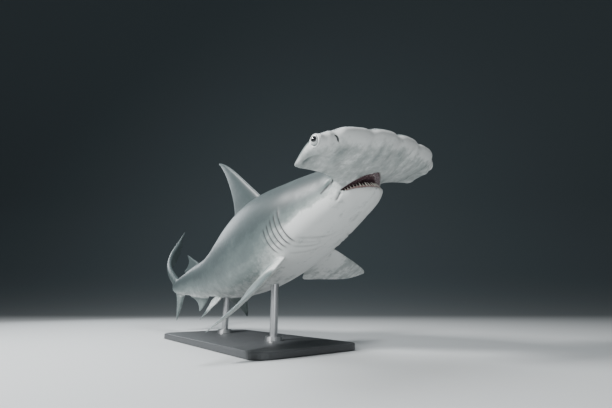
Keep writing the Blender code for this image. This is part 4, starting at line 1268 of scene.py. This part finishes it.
def skin_material():
    """Countershaded hide: dark above, pale below, mottled between, with a dark mouth lining and painted shade in the
    slits and creases.
    """
    g = Graph("shark_skin")
    dark = g.attribute("dark")
    lining = g.attribute("lining")
    straight = g.attribute("straight", "Vector")
    place = g.split(straight)
    along = g.node("ShaderNodeMapping", {"Vector": straight, "Scale": (26.0, 75.0, 75.0)})
    patchy = g.noise(1.0, 6.0, 0.6, where=along)
    cloud = g.noise(4.5, 5.0, 0.6)
    fine = g.noise(38.0, 5.0, 0.65)
    grain = g.noise(420.0, 3.0, 0.6)
    edge = dark + (patchy - 0.5) * 0.55 + (cloud - 0.5) * 0.45 + (fine - 0.5) * 0.38
    pale = g.mix(cloud.step(0.35, 0.65), rgb(0.36, 0.395, 0.385), rgb(0.52, 0.545, 0.53))
    flank = g.mix(fine, rgb(0.125, 0.160, 0.157), rgb(0.190, 0.228, 0.222))
    grey = g.mix(fine, rgb(0.066, 0.090, 0.091), rgb(0.102, 0.131, 0.130))
    back = g.mix(patchy, rgb(0.032, 0.046, 0.048), rgb(0.058, 0.076, 0.078))
    colour = g.mix(edge.step(0.02, 0.20), rgb(0.72, 0.735, 0.72), pale)
    colour = g.mix(edge.step(0.12, 0.46), colour, flank)
    colour = g.mix(edge.step(0.40, 0.70), colour, grey)
    colour = g.mix(edge.step(0.66, 1.02), colour, back)
    # Painted shade: near black in the gill slits, the neck crease, the folds and deep in the nostril slots.
    slit = (g.attribute("slit") * 0.97).larger(gill_slit_shade(*place)).larger(neck_crease_shade(*place))
    colour = g.mix(slit, colour, rgb(0.022, 0.028, 0.030))
    gum = g.mix(g.noise(60.0), rgb(0.40, 0.205, 0.20), rgb(0.56, 0.36, 0.34))
    bead = g.node("ShaderNodeTexVoronoi", {"Vector": g.place(), "Scale": 210.0}, feature="F1")
    deep = g.mix(bead.step(0.2, 0.6), rgb(0.190, 0.125, 0.138), rgb(0.075, 0.043, 0.052))
    inside = g.mix(g.attribute("pink"), deep, gum)
    colour = g.mix(lining, colour, inside)
    hide = g.bump(grain, 0.0006, 0.35)
    wet = 0.46 + (fine - 0.5) * 0.18 - lining * 0.20
    return g.set(Base_Color=colour, Roughness=wet, Normal=hide, Coat_Weight=0.10, Coat_Roughness=0.35)


def eye_material():
    """Black pupil, a silvery iris, grey beyond it, and a clear wet surface, by the angle from the gaze."""
    g = Graph("eye_glaze")
    spread = g.attribute("spread")
    streak = g.noise(300.0, 3.0)
    iris = g.mix(streak, rgb(0.46, 0.48, 0.47), rgb(0.74, 0.76, 0.74))
    colour = g.mix(spread.step(0.54, 0.60), rgb(0.006, 0.007, 0.009), iris)
    colour = g.mix(spread.step(0.98, 1.10), colour, rgb(0.34, 0.37, 0.37))
    return g.set(Base_Color=colour, Roughness=0.08, Coat_Weight=1.0, Coat_Roughness=0.03)


def teeth_material():
    g = Graph("teeth")
    shade = g.noise(120.0, 3.0)
    colour = g.mix(shade, rgb(0.72, 0.68, 0.58), rgb(0.86, 0.84, 0.78))
    return g.set(Base_Color=colour, Roughness=0.22, Coat_Weight=0.4)


def plate_material():
    """Powder-coated plate: dark, finely pebbled."""
    g = Graph("stand_plate")
    pebble = g.noise(900.0, 2.0, 0.5)
    cloud = g.noise(3.0, 3.0)
    colour = g.mix(cloud, rgb(0.052, 0.056, 0.060), rgb(0.066, 0.070, 0.074))
    rough = 0.50 + (cloud - 0.5) * 0.12
    return g.set(Base_Color=colour, Roughness=rough, Normal=g.bump(pebble, 0.0004, 0.35))


def steel_material():
    """Brushed steel: fine streaks along the rod."""
    g = Graph("stand_steel")
    stretched = g.node("ShaderNodeMapping", {"Vector": g.place(), "Scale": (260.0, 260.0, 3.0)})
    streak = g.noise(1.0, 3.0, 0.6, where=stretched)
    colour = g.mix(streak, rgb(0.46, 0.47, 0.48), rgb(0.62, 0.63, 0.64))
    rough = 0.26 + streak * 0.16
    return g.set(Base_Color=colour, Roughness=rough, Metallic=1.0)


def make_eye(side):
    """The eyeball; `spread` is each vertex's angle from the gaze, over 60 degrees."""
    name = "eye_ball_left" if side > 0.0 else "eye_ball_right"
    centre = mirrored(EYE, side)
    eye = solid(name, ball_rings(centre, EYE_RADII, 48, 64))
    offset = (points_of(eye.data) - MOVE - SPINE.bend(centre)) @ head_axes(centre[0]) / LENGTH
    facing = unit(offset / EYE_RADII) @ unit(mirrored(GAZE, side))
    store(eye.data, "spread", np.degrees(np.arccos(np.clip(facing, -1.0, 1.0))) / 60.0)
    eye.data.materials.append(eye_material())
    eye.data.shade_smooth()
    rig.ride(eye, "root")
    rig.replaces(eye, "eye_left" if side > 0.0 else "eye_right")
    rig.slot(eye, "eye_glaze")


def tooth_rings(base, inward, lean, size):
    """Rings of one spike, from its root in the gum to its point."""
    along = np.array([-inward[1], inward[0], 0.0])
    level = np.linspace(0.0, 1.0, TOOTH_LEVELS)[:, None]
    turn = circle(TOOTH_SIDES)
    wide = 0.22 * size * (1.0 - level) ** 0.9 + 0.012 * size
    thick = 0.20 * size * (1.0 - level) ** 0.7 + 0.010 * size
    spine = base - 0.35 * lean + lean * (1.35 * level) + inward * (0.16 * size * level**2)
    return (spine[:, None] + along * (wide * np.cos(turn))[..., None]
            + inward * (thick * np.sin(turn))[..., None])


def make_teeth(name, arc, height, points, shrink, scale, seed):
    """A row of teeth round a jaw's arc: each a flattened, back-leaning spike on its gum."""
    draw = np.random.default_rng(seed)
    front, half, power = arc
    verts = []
    faces = []
    for k in range(TEETH):
        swing = math.radians(TOOTH_SWING * (2.0 * k / (TEETH - 1) - 1.0))
        ahead = abs(math.cos(swing)) ** (2.0 / power) * shrink
        aft = MOUTH_BACK - (MOUTH_BACK - front) * ahead
        left = half * shrink * math.copysign(abs(math.sin(swing)) ** (2.0 / power), swing)
        size = scale * TOOTH * (0.42 + 0.58 * math.cos(swing)) * (0.8 + 0.4 * draw.random())
        inward = unit([MOUTH_BACK - aft + 0.004, -left, 0.0])
        tilt = 0.2 * (draw.random() - 0.5)
        lean = size * (0.10 * inward + tilt * np.array([-inward[1], inward[0], 0.0]) + (0.0, 0.0, points))
        rings = tooth_rings(np.array([aft, left, float(height(aft, left))]), inward, lean, size)
        start = len(verts)
        verts += SPINE.bend(rings.reshape(-1, 3)).tolist()
        faces += (loft_faces(TOOTH_LEVELS, TOOTH_SIDES) + start).tolist()
        faces.append(list(range(len(verts) - TOOTH_SIDES, len(verts))))
    mesh = bpy.data.meshes.new(name)
    mesh.from_pydata((np.array(verts) + MOVE).tolist(), [], faces)
    mesh.shade_smooth()
    return add_object(name, mesh)


def tooth_pieces():
    """Both jaws' teeth: tiny points above, larger ones below."""
    surface = teeth_material()
    for made in (make_teeth("teeth_upper", UPPER_ARC, roof, -1.0, 0.90, 0.28, TOOTH_SEED),
                 make_teeth("teeth_lower", LOWER_ARC, floor, 1.0, 0.975, 1.9, TOOTH_SEED + 1)):
        made.data.materials.append(surface)
        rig.ride(made, "root")
        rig.slot(made, "teeth")


def repaint(name, surface):
    """Give a CAD node one surface."""
    data = frame["nodes"][name].data
    data.materials.clear()
    data.materials.append(surface)
    for face in data.polygons:
        face.material_index = 0


def area_light(name, place, aim, size, power, colour):
    """A soft square lamp aimed at a point."""
    data = bpy.data.lights.new(name, "AREA")
    data.shape = "SQUARE"
    data.size = size
    data.energy = power
    data.color = colour
    lamp = add_object(name, data)
    lamp.location = place
    lamp.rotation_euler = (Vector(aim) - Vector(place)).to_track_quat("-Z", "Y").to_euler()


def backdrop():
    """A pale floor that curves up into a wall, which darkens as it goes back."""
    turn = np.linspace(0.0, 0.5 * math.pi, 24)
    depth = np.concatenate([[-16.0], BACKDROP_START + BACKDROP_CURVE * np.sin(turn), [9.0]])
    height = np.concatenate([[0.0], BACKDROP_CURVE - BACKDROP_CURVE * np.cos(turn), [18.0]])
    verts = [(side, depth[k], height[k]) for k in range(len(depth)) for side in (-FLOOR_HALF, FLOOR_HALF)]
    faces = [(2 * k, 2 * k + 1, 2 * k + 3, 2 * k + 2) for k in range(len(depth) - 1)]
    mesh = bpy.data.meshes.new("floor")
    mesh.from_pydata(verts, [], faces)
    mesh.shade_smooth()
    g = Graph("floor")
    shade = g.mix(g.split(g.place())[1].step(1.5, 8.0), rgb(0.50, 0.52, 0.525), rgb(0.085, 0.110, 0.122))
    mesh.materials.append(g.set(Base_Color=shade, Roughness=0.8))
    ground = add_object("floor", mesh)
    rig.stage(ground)


def studio():
    """The backdrop, soft lamps, a faint sky and the photograph's eye point."""
    backdrop()
    world = bpy.data.worlds.new("studio")
    world.use_nodes = True
    sky = world.node_tree.nodes["Background"].inputs
    sky["Color"].default_value = rgb(0.84, 0.90, 0.93)
    sky["Strength"].default_value = 0.22
    bpy.context.scene.world = world
    for lamp in LAMPS:
        area_light(*lamp)
    data = bpy.data.cameras.new("eye_point")
    data.sensor_width = SENSOR_WIDTH
    data.lens = PHOTO_FOCAL / PHOTO_WIDTH * SENSOR_WIDTH
    data.clip_start = 0.05
    camera = add_object("eye_point", data)
    camera.location = MOVE
    camera.rotation_euler = (math.radians(EYE_PITCH), 0.0, 0.0)
    bpy.context.scene.camera = camera


skin, shade, depth = make_skin()
mark_skin(skin, shade, depth)
skin.data.materials.clear()
skin.data.materials.append(skin_material())
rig.ride(skin, "root")
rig.replaces(skin, "head", "lower_jaw", "neck_gills", "torso_front", "torso_rear", "tail_stock",
            "tail_fin", "dorsal_fin_first", "dorsal_fin_second", "anal_fin", "pectoral_fin_left",
            "pectoral_fin_right", "pelvic_fin_left", "pelvic_fin_right")
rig.slot(skin, "shark_skin")
make_eye(1.0)
make_eye(-1.0)
tooth_pieces()
repaint("stand_base", plate_material())
steel = steel_material()
repaint("stand_rod_front", steel)
repaint("stand_rod_rear", steel)
studio()

new_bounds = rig.bounds()
with open("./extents.json", "w") as out:
    json.dump({"cad": [list(map(float, corner)) for corner in cad_bounds],
               "model": [list(map(float, corner)) for corner in new_bounds]}, out)
